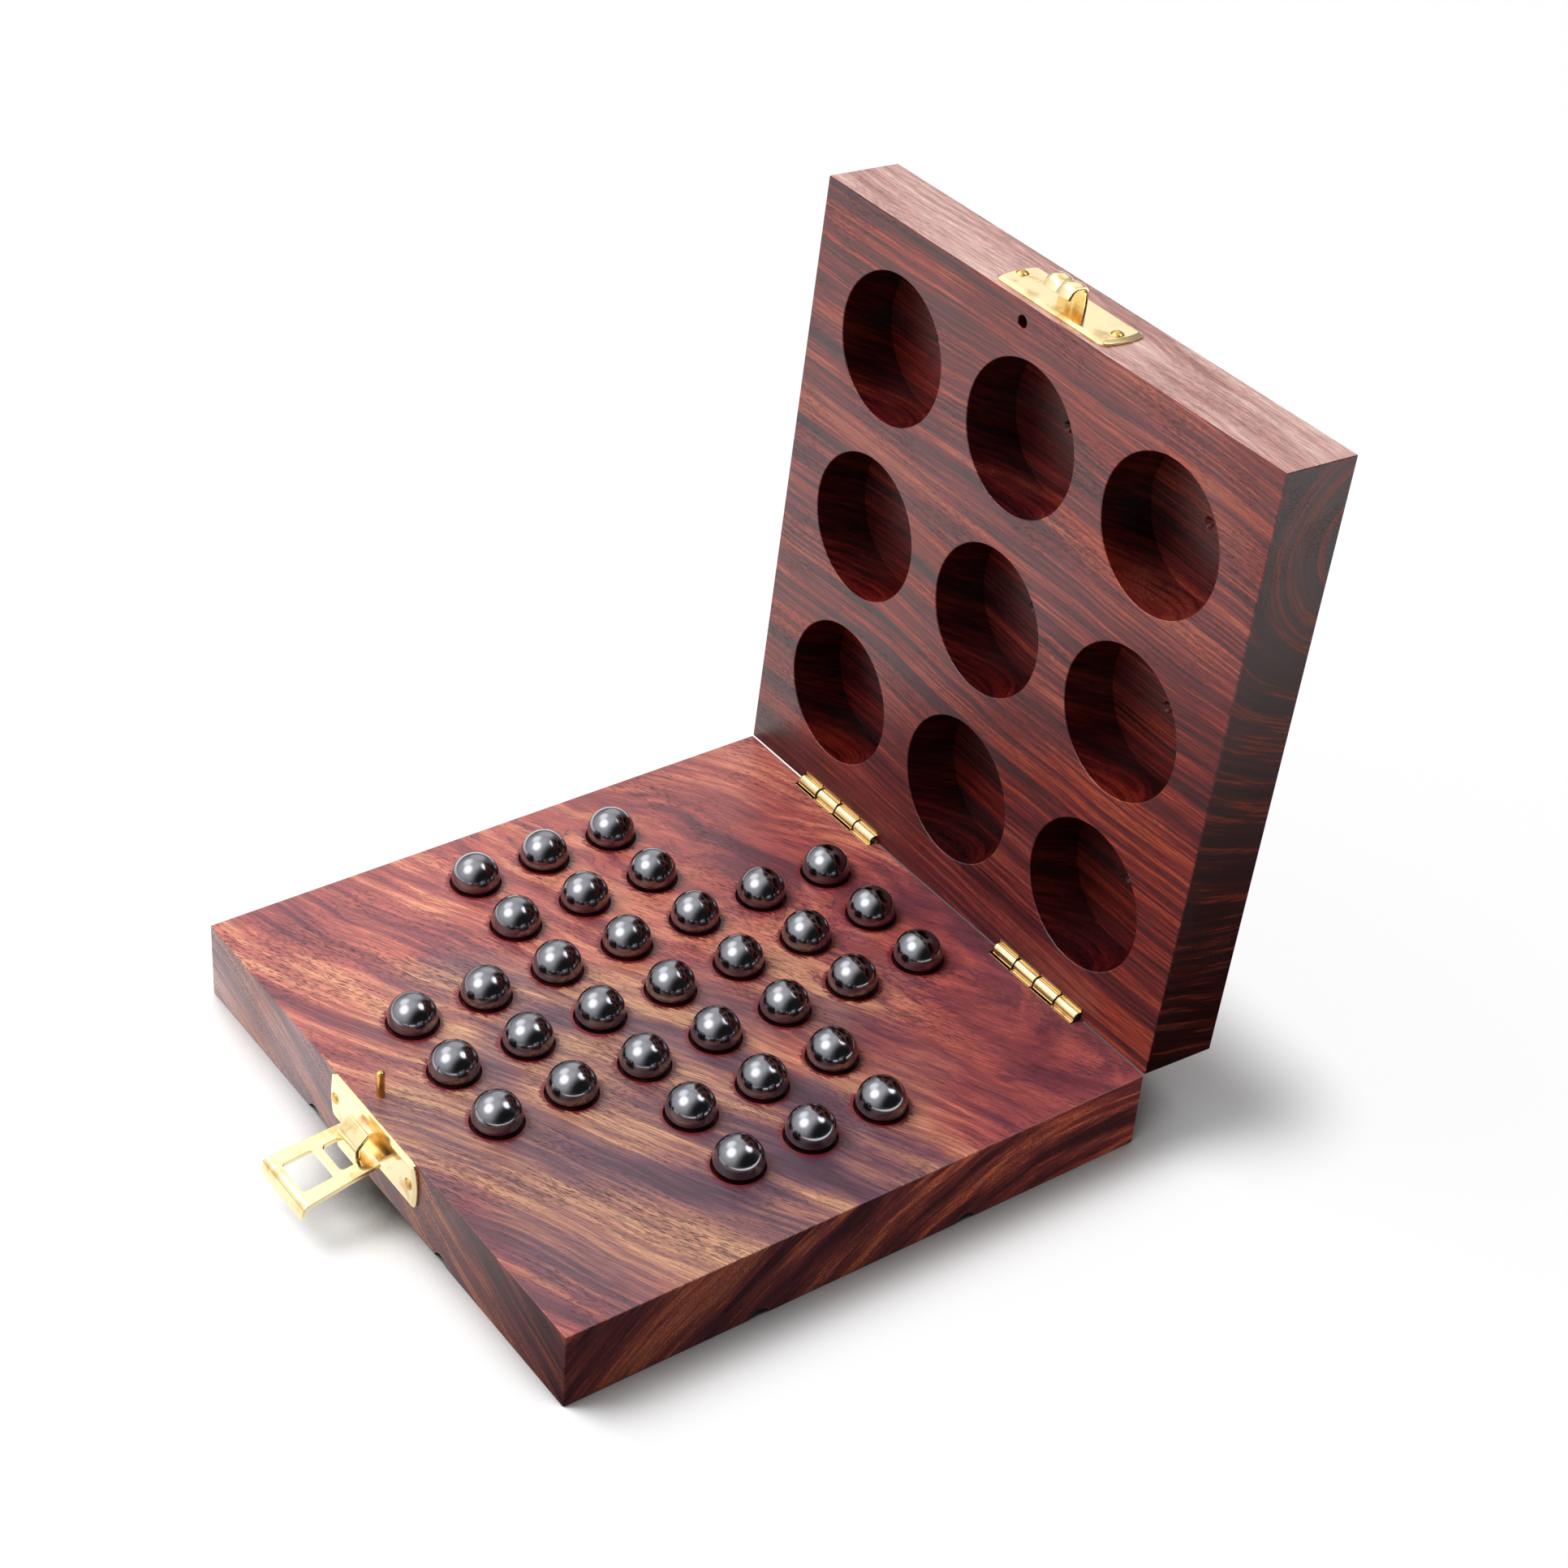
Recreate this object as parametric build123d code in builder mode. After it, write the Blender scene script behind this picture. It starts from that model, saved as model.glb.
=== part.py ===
"""Folding pocket games board: two square hardwood boards hinged together.

The base is drilled for peg solitaire and carries steel balls. The lid is bored
with a three by three grid of round pockets for noughts and crosses, which also
hold the balls while the board is shut. It is drawn open, as it stands in play.

Millimetres, +Z up, +Y towards the hinges. The origin is the middle of the
underside, which rests on the table.
"""

from build123d import *

import os
from math import cos, radians, sin, tan

os.makedirs("parts", exist_ok=True)

# Boards
BOARD_SIDE = 127.0
BASE_THICKNESS = 16.5
LID_THICKNESS = 16.5
BOARD_EDGE_ROUND = 0.25
CLOSED_GAP = 0.2
LID_OPEN_ANGLE = 93.5

# Solitaire holes and balls
BALL_DIAMETER = 9.525
BALL_STANDS_PROUD = 6.2
BALL_SEAT_CLEARANCE = 0.06
BALL_HOLE_DIAMETER = 10.0
DRILL_POINT_ANGLE = 118.0
BALL_PITCH = 15.6
BALL_GRID_SHIFT_X = -2.4
BALL_GRID_SHIFT_Y = 1.6
BALL_GRID_TURN = -1.3
CROSS_REACH = 3
CROSS_ARM_REACH = 1

# Pockets in the lid
POCKET_DIAMETER = 30.0
POCKET_DEPTH = 12.0
POCKET_PITCH = 38.5
POCKETS_EACH_WAY = 3
CENTRE_MARK_DIAMETER = 2.4
CENTRE_MARK_DEPTH = 1.2

# Grooves that rule the underside into nine squares
GROOVE_SPACING = 46.0
GROOVE_WIDTH = 4.6
GROOVE_DEPTH = 1.5

# Locating pin at the catch edge, and its hole in the lid
LOCATING_PIN_DIAMETER = 1.6
LOCATING_PIN_HEIGHT = 5.7
LOCATING_PIN_BURIED = 8.0
LOCATING_PIN_X = -4.5
LOCATING_PIN_INSET = 3.7
LOCATING_PIN_ROUND = 0.6
LOCATING_PIN_FIT = 0.02
LOCATING_HOLE_DIAMETER = 2.4
LOCATING_HOLE_DEPTH = 7.0

# Butt hinges
HINGE_CENTRE_X = 32.3
HINGE_LENGTH = 25.0
HINGE_AXIS_BEHIND = 0.1
KNUCKLES = 4
KNUCKLE_DIAMETER = 3.0
KNUCKLE_END_GAP = 0.14
KNUCKLE_TO_LEAF = 0.06
ROLL_SEAM = 0.12
HINGE_PIN_DIAMETER = 1.4
HINGE_PIN_CLEARANCE = 0.05
HINGE_PIN_INSET = 0.2
HINGE_PIN_CHAMFER = 0.15
LEAF_THICKNESS = 0.8
LEAF_HEIGHT = 7.0
LEAF_CORNER_RADIUS = 0.6
LEAF_FIT = 0.1
HINGE_NAIL_SPACING = 16.0
HINGE_NAIL_FROM_AXIS = 4.3

# Nails
NAIL_SHANK_DIAMETER = 1.1
NAIL_SHANK_LENGTH = 7.0
NAIL_POINT_LENGTH = 1.4
NAIL_HEAD_DIAMETER = 2.5
NAIL_HEAD_HEIGHT = 0.6
NAIL_FIT = 0.02

# Catch plates
PLATE_LENGTH = 31.0
PLATE_HEIGHT = 10.4
PLATE_THICKNESS = 0.9
PLATE_END_BOW = 0.8
PLATE_CORNER_RADIUS = 1.2
PLATE_BEVEL_WIDTH = 0.9
PLATE_BEVEL_DEPTH = 0.4
PLATE_NAIL_SPACING = 26.4
BASE_PLATE_DROP = 0.1
LID_PLATE_RISE = 1.1

# Curled straps, measured from the board face and from the contact edge
STRAP_THICKNESS = 0.9
STRAP_REACH = 5.5
STRAP_BEND_RADIUS = 1.5
LUG_WIDTH = 6.8
LUG_ROOT = 7.5
LUG_SHOULDER = 2.9
LUG_TIP = 0.5
LUG_TIP_REACH = 3.1
HOOK_WIDTH = 7.2
HOOK_ROOT = 6.95
HOOK_SHOULDER = 3.6
HOOK_TIP = 2.5
HOOK_TIP_REACH = 3.4
HOOK_CREASE_WIDTH = 1.0
HOOK_CREASE_DEPTH = 0.4

# Hasp, measured along the sheet from its pivot
HASP_PIVOT_DROP = 5.4
HASP_PIVOT_REACH = 3.6
HASP_DROOP_ANGLE = 8.0
HASP_THICKNESS = 0.9
HASP_INNER_WIDTH = 13.2
HASP_OUTER_WIDTH = 15.4
HASP_INNER_END = 1.0
HASP_OUTER_END = 15.1
HASP_CORNER_RADIUS = 1.6
HASP_LIP_HEIGHT = 3.0
HASP_LIP_FLARE = 0.4
HASP_LIP_BEND_RADIUS = 1.3
LUG_WINDOW_WIDTH = 7.4
LUG_WINDOW_END = 5.4
HOOK_WINDOW_WIDTH = 8.2
HOOK_WINDOW_START = 7.0
HOOK_WINDOW_END = 13.3
WINDOW_CORNER_RADIUS = 0.8


# The hinge axis lies behind the boards, level with the middle of the closed gap.
axis_y = BOARD_SIDE / 2 + HINGE_AXIS_BEHIND
axis_z = BASE_THICKNESS + CLOSED_GAP / 2

# Lid plane: its origin is the middle of the hinge edge of the inner face,
# its Y runs to the free edge and its Z leaves the inner face.
lid_along = Vector(0, -cos(radians(LID_OPEN_ANGLE)), sin(radians(LID_OPEN_ANGLE)))
lid_normal = Vector(0, -sin(radians(LID_OPEN_ANGLE)), -cos(radians(LID_OPEN_ANGLE)))
lid_corner = (
    Vector(0, axis_y, axis_z)
    + lid_along * HINGE_AXIS_BEHIND
    - lid_normal * (CLOSED_GAP / 2)
)
lid_face = Plane(origin=lid_corner, x_dir=(1, 0, 0), z_dir=lid_normal)

# Catch edges of the two boards: Y = 0 on the contact edge, Z out of the edge face.
base_catch_edge = Plane(
    origin=(0, -BOARD_SIDE / 2, BASE_THICKNESS), x_dir=(1, 0, 0), z_dir=(0, -1, 0)
)
lid_catch_edge = Plane(
    origin=lid_face.from_local_coords((0, BOARD_SIDE)), x_dir=(1, 0, 0), z_dir=lid_along
)

# The balls rest on the cone that the drill point leaves.
ball_radius = BALL_DIAMETER / 2
ball_height = BALL_STANDS_PROUD - ball_radius
drill_half_angle = radians(DRILL_POINT_ANGLE / 2)
drill_apex = (ball_radius + BALL_SEAT_CLEARANCE) / sin(drill_half_angle) - ball_height
drill_cone_height = BALL_HOLE_DIAMETER / 2 / tan(drill_half_angle)

# An arc with the groove's width for a chord and its depth for a rise.
groove_radius = ((GROOVE_WIDTH / 2) ** 2 + GROOVE_DEPTH**2) / (2 * GROOVE_DEPTH)

knuckle_radius = KNUCKLE_DIAMETER / 2
knuckle_pitch = HINGE_LENGTH / KNUCKLES
hinge_bore_radius = HINGE_PIN_DIAMETER / 2 + HINGE_PIN_CLEARANCE
leaf_back = knuckle_radius + KNUCKLE_TO_LEAF
leaf_front = leaf_back + LEAF_THICKNESS
leaf_edge = CLOSED_GAP / 2

locating_pin_y = LOCATING_PIN_INSET - BOARD_SIDE / 2


def write(name, part):
    """Labels a finished piece and writes it to a file of the same name."""
    part.label = name
    export_step(part, f"parts/{name}.step")


def moved_to(frame, x, y, z=0.0):
    """A plane parallel to a frame, with its origin at this point of the frame."""
    return Plane(
        origin=frame.from_local_coords((x, y, z)), x_dir=frame.x_dir, z_dir=frame.z_dir
    )


def cut_across(frame, x=0.0):
    """The plane square to a frame's X, with the frame's Y and Z for its own X and Y."""
    return Plane(
        origin=frame.from_local_coords((x, 0)), x_dir=frame.y_dir, z_dir=frame.x_dir
    )


# Nails


def driven_nails(places):
    """Round-headed nails, each head seated on a plane that faces out of the metal."""
    with BuildPart() as nail:
        with BuildSketch(Plane.XZ):
            with BuildLine():
                TangentArc(
                    (0, NAIL_HEAD_HEIGHT), (NAIL_HEAD_DIAMETER / 2, 0), tangent=(1, 0)
                )
                Polyline(
                    (NAIL_HEAD_DIAMETER / 2, 0),
                    (NAIL_SHANK_DIAMETER / 2, 0),
                    (NAIL_SHANK_DIAMETER / 2, NAIL_POINT_LENGTH - NAIL_SHANK_LENGTH),
                    (0, -NAIL_SHANK_LENGTH),
                    (0, NAIL_HEAD_HEIGHT),
                )
            make_face()
        revolve(axis=Axis.Z)
    with BuildPart() as group:
        with Locations(*places):
            add(nail.part)
    return group.part


def nail_holes(places):
    """The holes that a set of nails fills, through the metal and into the wood."""
    with BuildPart() as holes:
        with Locations(*places):
            Cylinder(
                NAIL_SHANK_DIAMETER / 2 + NAIL_FIT,
                NAIL_SHANK_LENGTH + NAIL_FIT,
                align=(Align.CENTER, Align.CENTER, Align.MAX),
            )
    return holes.part


# Hinges: a leaf's frame has X on the hinge axis, Y down the leaf and Z out of the board.


def base_leaf_frame(x):
    return Plane(origin=(x, axis_y, axis_z), x_dir=(1, 0, 0), z_dir=(0, 1, 0))


def lid_leaf_frame(x):
    return Plane(origin=(x, axis_y, axis_z), x_dir=(-1, 0, 0), z_dir=-lid_along)


def leaf_nail_places(frame):
    """Two places on the outer side of a leaf."""
    half = HINGE_NAIL_SPACING / 2
    return [moved_to(frame, x, HINGE_NAIL_FROM_AXIS, -leaf_back) for x in (-half, half)]


def hinge_leaf(frame):
    """A leaf with two rolled knuckles, the first and the third along its own frame."""
    with BuildPart() as leaf:
        with BuildSketch(frame.offset(-leaf_front)) as outline:
            with Locations((0, leaf_edge)):
                Rectangle(
                    HINGE_LENGTH, LEAF_HEIGHT - leaf_edge, align=(Align.CENTER, Align.MIN)
                )
            free_corners = outline.vertices().sort_by(Axis.Y)[-2:]
            fillet(free_corners, LEAF_CORNER_RADIUS)
        extrude(amount=LEAF_THICKNESS)
        for knuckle in (0, 2):
            middle = (knuckle - (KNUCKLES - 1) / 2) * knuckle_pitch
            with BuildSketch(cut_across(frame, middle)):
                Circle(knuckle_radius)
                with Locations((leaf_edge, 0)):
                    Rectangle(
                        knuckle_radius - leaf_edge, leaf_front, align=(Align.MIN, Align.MAX)
                    )
                Circle(hinge_bore_radius, mode=Mode.SUBTRACT)
                with Locations((hinge_bore_radius, -leaf_back)):
                    Rectangle(
                        knuckle_radius,
                        ROLL_SEAM,
                        align=(Align.MIN, Align.MIN),
                        mode=Mode.SUBTRACT,
                    )
            extrude(amount=(knuckle_pitch - KNUCKLE_END_GAP) / 2, both=True)
        add(nail_holes(leaf_nail_places(frame)), mode=Mode.SUBTRACT)
    return leaf.part


def leaf_mortise(frame):
    """What a board loses to a leaf and its barrel, open at the contact edge."""
    with BuildPart() as mortise:
        with BuildSketch(frame.offset(-leaf_front)):
            with Locations((0, LEAF_HEIGHT + LEAF_FIT)):
                Rectangle(
                    HINGE_LENGTH + 2 * LEAF_FIT, 2 * LEAF_HEIGHT, align=(Align.CENTER, Align.MAX)
                )
        extrude(amount=leaf_front)
    return mortise.part


for side, hinge_x in (("left", -HINGE_CENTRE_X), ("right", HINGE_CENTRE_X)):
    with BuildPart() as hinge_pin:
        with BuildSketch(cut_across(base_leaf_frame(hinge_x))):
            Circle(HINGE_PIN_DIAMETER / 2)
        extrude(amount=HINGE_LENGTH / 2 - HINGE_PIN_INSET, both=True)
        chamfer(hinge_pin.edges().filter_by(GeomType.CIRCLE), HINGE_PIN_CHAMFER)
    write(f"{side}_hinge_pin", hinge_pin.part)
    for board, leaf_frame in (("base", base_leaf_frame(hinge_x)), ("lid", lid_leaf_frame(hinge_x))):
        write(f"{side}_hinge_{board}_leaf", hinge_leaf(leaf_frame))
        write(f"{side}_hinge_{board}_nails", driven_nails(leaf_nail_places(leaf_frame)))


# Catch plates: X along the catch edge, Y away from the underside of the base, Z out.


def plate_nail_places(plate_middle):
    """Two places on the outer side of a catch plate."""
    half = PLATE_NAIL_SPACING / 2
    return [moved_to(plate_middle, x, 0, PLATE_THICKNESS) for x in (-half, half)]


def catch_plate(plate_middle):
    """A plate with bowed ends and a bevelled rim, nailed flat on a catch edge."""
    half_height = PLATE_HEIGHT / 2
    straight = PLATE_LENGTH / 2 - PLATE_END_BOW
    with BuildPart() as plate:
        with BuildSketch(plate_middle) as outline:
            with BuildLine():
                Line((-straight, half_height), (straight, half_height))
                ThreePointArc(
                    (straight, half_height), (PLATE_LENGTH / 2, 0), (straight, -half_height)
                )
                Line((straight, -half_height), (-straight, -half_height))
                ThreePointArc(
                    (-straight, -half_height), (-PLATE_LENGTH / 2, 0), (-straight, half_height)
                )
            make_face()
            fillet(outline.vertices(), PLATE_CORNER_RADIUS)
        extrude(amount=PLATE_THICKNESS)
        front = plate.faces().sort_by(Axis(plate_middle.origin, plate_middle.z_dir))[-1]
        chamfer(front.edges(), PLATE_BEVEL_WIDTH, PLATE_BEVEL_DEPTH, reference=front)
        add(nail_holes(plate_nail_places(plate_middle)), mode=Mode.SUBTRACT)
    return plate.part


def curled_strap(edge, width, corners):
    """A strip of the plate's own sheet, bent through corners given along and out of an edge."""
    with BuildPart() as strap:
        with BuildSketch(cut_across(edge)):
            with BuildLine():
                FilletPolyline(*corners, radius=STRAP_BEND_RADIUS)
            trace(line_width=STRAP_THICKNESS)
        extrude(amount=width / 2, both=True)
    return strap.part


def strap_crease(edge, corners):
    """A V along the outer middle of a strap that starts out from this edge."""
    with BuildPart() as crease:
        with BuildLine(cut_across(edge)) as middle:
            FilletPolyline(*corners, radius=STRAP_BEND_RADIUS)
        with BuildSketch(Plane(origin=middle.line @ 0, x_dir=edge.x_dir, z_dir=edge.z_dir)):
            Polygon(
                (-HOOK_CREASE_WIDTH, STRAP_THICKNESS / 2 + HOOK_CREASE_DEPTH),
                (HOOK_CREASE_WIDTH, STRAP_THICKNESS / 2 + HOOK_CREASE_DEPTH),
                (0, STRAP_THICKNESS / 2 - HOOK_CREASE_DEPTH),
                align=None,
            )
        sweep(path=middle.line)
    return crease.part


base_plate_middle = moved_to(base_catch_edge, 0, -(BASE_PLATE_DROP + PLATE_HEIGHT / 2))
lid_plate_middle = moved_to(lid_catch_edge, 0, LID_PLATE_RISE + PLATE_HEIGHT / 2)

with BuildPart() as catch_base_plate:
    add(catch_plate(base_plate_middle))
    lug_corners = (
        (-LUG_ROOT, PLATE_THICKNESS / 2),
        (-LUG_ROOT, STRAP_REACH),
        (-LUG_SHOULDER, STRAP_REACH),
        (-LUG_TIP, LUG_TIP_REACH),
    )
    add(curled_strap(base_catch_edge, LUG_WIDTH, lug_corners))
write("catch_base_plate", catch_base_plate.part)
write("catch_base_nails", driven_nails(plate_nail_places(base_plate_middle)))

with BuildPart() as catch_lid_plate:
    hook_corners = (
        (HOOK_ROOT, PLATE_THICKNESS),
        (HOOK_ROOT, STRAP_REACH),
        (HOOK_SHOULDER, STRAP_REACH),
        (HOOK_TIP, HOOK_TIP_REACH),
    )
    add(curled_strap(lid_catch_edge, HOOK_WIDTH, hook_corners))
    add(strap_crease(lid_catch_edge, hook_corners), mode=Mode.SUBTRACT)
    add(catch_plate(lid_plate_middle))
write("catch_lid_plate", catch_lid_plate.part)
write("catch_lid_nails", driven_nails(plate_nail_places(lid_plate_middle)))


# Hasp: its own X on the pivot, Y out along the sheet and Z up from it.
droop = radians(HASP_DROOP_ANGLE)
hasp_frame = Plane(
    origin=base_catch_edge.from_local_coords((0, -HASP_PIVOT_DROP, HASP_PIVOT_REACH)),
    x_dir=(-1, 0, 0),
    z_dir=(0, -sin(droop), cos(droop)),
)
lip_end = HASP_OUTER_END + HASP_LIP_FLARE
with BuildPart() as hasp:
    with BuildSketch(cut_across(hasp_frame)):
        with BuildLine():
            FilletPolyline(
                (-HASP_INNER_END, 0),
                (HASP_OUTER_END, 0),
                (lip_end, -HASP_LIP_HEIGHT),
                radius=HASP_LIP_BEND_RADIUS,
            )
        trace(line_width=HASP_THICKNESS)
    extrude(amount=HASP_OUTER_WIDTH / 2, both=True)
    with BuildSketch(hasp_frame):
        with BuildSketch() as outline:
            Polygon(
                (-HASP_INNER_WIDTH / 2, -HASP_INNER_END),
                (HASP_INNER_WIDTH / 2, -HASP_INNER_END),
                (HASP_OUTER_WIDTH / 2, lip_end + HASP_THICKNESS),
                (-HASP_OUTER_WIDTH / 2, lip_end + HASP_THICKNESS),
                align=None,
            )
        for width, start, end in (
            (LUG_WINDOW_WIDTH, HASP_INNER_END, LUG_WINDOW_END),
            (HOOK_WINDOW_WIDTH, HOOK_WINDOW_START, HOOK_WINDOW_END),
        ):
            with Locations((0, (start + end) / 2)):
                RectangleRounded(width, end - start, WINDOW_CORNER_RADIUS, mode=Mode.SUBTRACT)
    extrude(amount=HASP_LIP_HEIGHT + HASP_THICKNESS, both=True, mode=Mode.INTERSECT)
    lip_down = Axis(hasp_frame.origin, -hasp_frame.z_dir)
    sheet_corners = hasp.edges().filter_by(
        lambda edge: abs(edge.length - HASP_THICKNESS) < HASP_THICKNESS / 50
    )
    fillet(sheet_corners.sort_by(lip_down)[-2:], HASP_CORNER_RADIUS)
write("hasp", hasp.part)


# Balls and boards


def ball_places():
    """Middles of the 33 holes: rows of a cross, seven each way without the corners."""
    turn = radians(BALL_GRID_TURN)
    reach = range(-CROSS_REACH, CROSS_REACH + 1)
    places = []
    for row in reach:
        for column in reach:
            if abs(row) <= CROSS_ARM_REACH or abs(column) <= CROSS_ARM_REACH:
                x = BALL_GRID_SHIFT_X + BALL_PITCH * (column * cos(turn) + row * sin(turn))
                y = BALL_GRID_SHIFT_Y + BALL_PITCH * (column * sin(turn) - row * cos(turn))
                places.append((x, y))
    return places


for number, (ball_x, ball_y) in enumerate(ball_places(), start=1):
    with BuildPart() as ball:
        with Locations((ball_x, ball_y, BASE_THICKNESS + ball_height)):
            Sphere(ball_radius)
    write(f"ball_{number:02d}", ball.part)

with BuildPart() as locating_pin:
    with BuildSketch(Plane.XY.offset(BASE_THICKNESS - LOCATING_PIN_BURIED)):
        with Locations((LOCATING_PIN_X, locating_pin_y)):
            Circle(LOCATING_PIN_DIAMETER / 2)
    extrude(amount=LOCATING_PIN_BURIED + LOCATING_PIN_HEIGHT)
    fillet(locating_pin.edges().sort_by(Axis.Z)[-1], LOCATING_PIN_ROUND)
write("locating_pin", locating_pin.part)

base_mortises = [leaf_mortise(base_leaf_frame(x)) for x in (-HINGE_CENTRE_X, HINGE_CENTRE_X)]
base_nail_holes = [
    nail_holes(places)
    for places in (
        leaf_nail_places(base_leaf_frame(-HINGE_CENTRE_X)),
        leaf_nail_places(base_leaf_frame(HINGE_CENTRE_X)),
        plate_nail_places(base_plate_middle),
    )
]
with BuildPart() as base_board:
    with BuildSketch():
        Rectangle(BOARD_SIDE, BOARD_SIDE)
    extrude(amount=BASE_THICKNESS)
    fillet(base_board.edges(), BOARD_EDGE_ROUND)
    with Locations(*[(x, y, BASE_THICKNESS) for x, y in ball_places()]):
        Hole(BALL_HOLE_DIAMETER / 2, drill_apex - drill_cone_height)
    with Locations(*[(x, y, BASE_THICKNESS - drill_apex) for x, y in ball_places()]):
        Cone(
            0,
            BALL_HOLE_DIAMETER / 2,
            drill_cone_height,
            align=(Align.CENTER, Align.CENTER, Align.MIN),
            mode=Mode.SUBTRACT,
        )
    for across_line in (Plane.XZ, Plane.YZ):
        with BuildSketch(across_line):
            with Locations((0, GROOVE_DEPTH - groove_radius)):
                with GridLocations(GROOVE_SPACING, 1, 2, 1):
                    Circle(groove_radius)
        extrude(amount=BOARD_SIDE, both=True, mode=Mode.SUBTRACT)
    with Locations((LOCATING_PIN_X, locating_pin_y, BASE_THICKNESS)):
        Hole(LOCATING_PIN_DIAMETER / 2 + LOCATING_PIN_FIT, LOCATING_PIN_BURIED)
    add(base_mortises, mode=Mode.SUBTRACT)
    add(base_nail_holes, mode=Mode.SUBTRACT)
write("base_board", base_board.part)

pocket_grid = moved_to(lid_face, 0, BOARD_SIDE / 2)
lid_mortises = [leaf_mortise(lid_leaf_frame(x)) for x in (-HINGE_CENTRE_X, HINGE_CENTRE_X)]
lid_nail_holes = [
    nail_holes(places)
    for places in (
        leaf_nail_places(lid_leaf_frame(-HINGE_CENTRE_X)),
        leaf_nail_places(lid_leaf_frame(HINGE_CENTRE_X)),
        plate_nail_places(lid_plate_middle),
    )
]
with BuildPart() as lid_board:
    with BuildSketch(pocket_grid):
        Rectangle(BOARD_SIDE, BOARD_SIDE)
    extrude(amount=-LID_THICKNESS)
    fillet(lid_board.edges(), BOARD_EDGE_ROUND)
    with Locations(pocket_grid):
        with GridLocations(POCKET_PITCH, POCKET_PITCH, POCKETS_EACH_WAY, POCKETS_EACH_WAY):
            Hole(POCKET_DIAMETER / 2, POCKET_DEPTH)
    with Locations(pocket_grid.offset(-POCKET_DEPTH)):
        with GridLocations(POCKET_PITCH, POCKET_PITCH, POCKETS_EACH_WAY, POCKETS_EACH_WAY):
            Cone(
                0,
                CENTRE_MARK_DIAMETER / 2,
                CENTRE_MARK_DEPTH,
                align=(Align.CENTER, Align.CENTER, Align.MAX),
                mode=Mode.SUBTRACT,
            )
    with Locations(moved_to(lid_face, LOCATING_PIN_X, BOARD_SIDE - LOCATING_PIN_INSET)):
        Hole(LOCATING_HOLE_DIAMETER / 2, LOCATING_HOLE_DEPTH)
    add(lid_mortises, mode=Mode.SUBTRACT)
    add(lid_nail_holes, mode=Mode.SUBTRACT)
write("lid_board", lid_board.part)
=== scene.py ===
"""Looks of a folding games board: rosewood boards, brass fittings and steel balls."""

from math import acos, atan2, cos, pi, radians, sin, tan

import bpy
from mathutils import Matrix, Vector


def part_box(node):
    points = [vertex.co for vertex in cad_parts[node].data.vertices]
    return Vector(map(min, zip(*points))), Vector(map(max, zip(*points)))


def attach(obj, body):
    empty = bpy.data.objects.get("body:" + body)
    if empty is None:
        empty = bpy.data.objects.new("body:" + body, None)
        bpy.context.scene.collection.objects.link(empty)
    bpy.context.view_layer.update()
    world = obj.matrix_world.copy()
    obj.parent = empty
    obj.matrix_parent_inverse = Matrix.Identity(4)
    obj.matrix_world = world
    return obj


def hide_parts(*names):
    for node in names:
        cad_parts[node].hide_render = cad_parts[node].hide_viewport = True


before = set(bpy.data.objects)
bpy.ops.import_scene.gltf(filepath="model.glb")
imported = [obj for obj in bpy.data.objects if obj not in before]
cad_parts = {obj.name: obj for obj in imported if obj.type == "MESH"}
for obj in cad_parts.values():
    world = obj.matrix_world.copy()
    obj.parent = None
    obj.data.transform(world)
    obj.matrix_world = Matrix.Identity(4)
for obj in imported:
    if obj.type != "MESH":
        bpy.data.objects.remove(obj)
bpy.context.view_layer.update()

mm = 0.001

# Boards
BOARD_SIDE = 127.0 * mm
BOARD_THICKNESS = 16.5 * mm
BOARD_EDGE_ROUND = 0.25 * mm
CLOSED_GAP = 0.2 * mm
LID_OPEN_ANGLE = radians(93.5)
HINGE_AXIS_BEHIND = 0.1 * mm
RIM_CHAMFER = 0.14 * mm

# Balls and their holes
BALL_RADIUS = 9.525 / 2 * mm
BALL_HOLE_RADIUS = 5.0 * mm
BALL_HOLE_WALL = 1.24 * mm
BALL_HOLE_CONE = 3.0 * mm
BALL_PITCH = 15.6 * mm
BALL_GRID_MIDDLE = Vector((-2.4, 1.6, 0)) * mm
BALL_GRID_TURN = radians(-1.3)

# Pockets, and the hole for the locating pin
POCKET_RADIUS = 15.0 * mm
POCKET_DEPTH = 12.0 * mm
POCKET_PITCH = 38.5 * mm
CENTRE_MARK_RADIUS = 1.2 * mm
CENTRE_MARK_DEPTH = 1.2 * mm
PIN_HOLE_RADIUS = 1.2 * mm
PIN_HOLE_DEPTH = 7.0 * mm
PIN_HOLE_PLACE = Vector((-4.5, 59.8, 0)) * mm
LOCATING_PIN_ROUND = 0.6 * mm

# Underside grooves. Where two cross, unlike facet counts keep the cuts clean.
GROOVE_SPACING = 46.0 * mm
GROOVE_WIDTH = 4.6 * mm
GROOVE_DEPTH = 1.5 * mm
GROOVE_FACETS = (67, 89)

# Hinges
HINGE_CENTRE_X = 32.3 * mm
HINGE_LENGTH = 25.0 * mm
KNUCKLES = 4
KNUCKLE_RADIUS = 1.5 * mm
KNUCKLE_END_GAP = 0.14 * mm
HINGE_PIN_RADIUS = 0.7 * mm
HINGE_PIN_INSET = 0.2 * mm
HINGE_BORE_RADIUS = 0.75 * mm
HINGE_BORE_DEPTH = 0.4 * mm
KNUCKLE_ROUND = 0.32 * mm
LEAF_BACK = 1.56 * mm
LEAF_THICKNESS = 0.8 * mm
LEAF_HEIGHT = 7.0 * mm
LEAF_CORNER_RADIUS = 0.6 * mm
LEAF_FIT = 0.1 * mm
HINGE_NAIL_SPACING = 16.0 * mm
HINGE_NAIL_FROM_AXIS = 4.3 * mm

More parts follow.
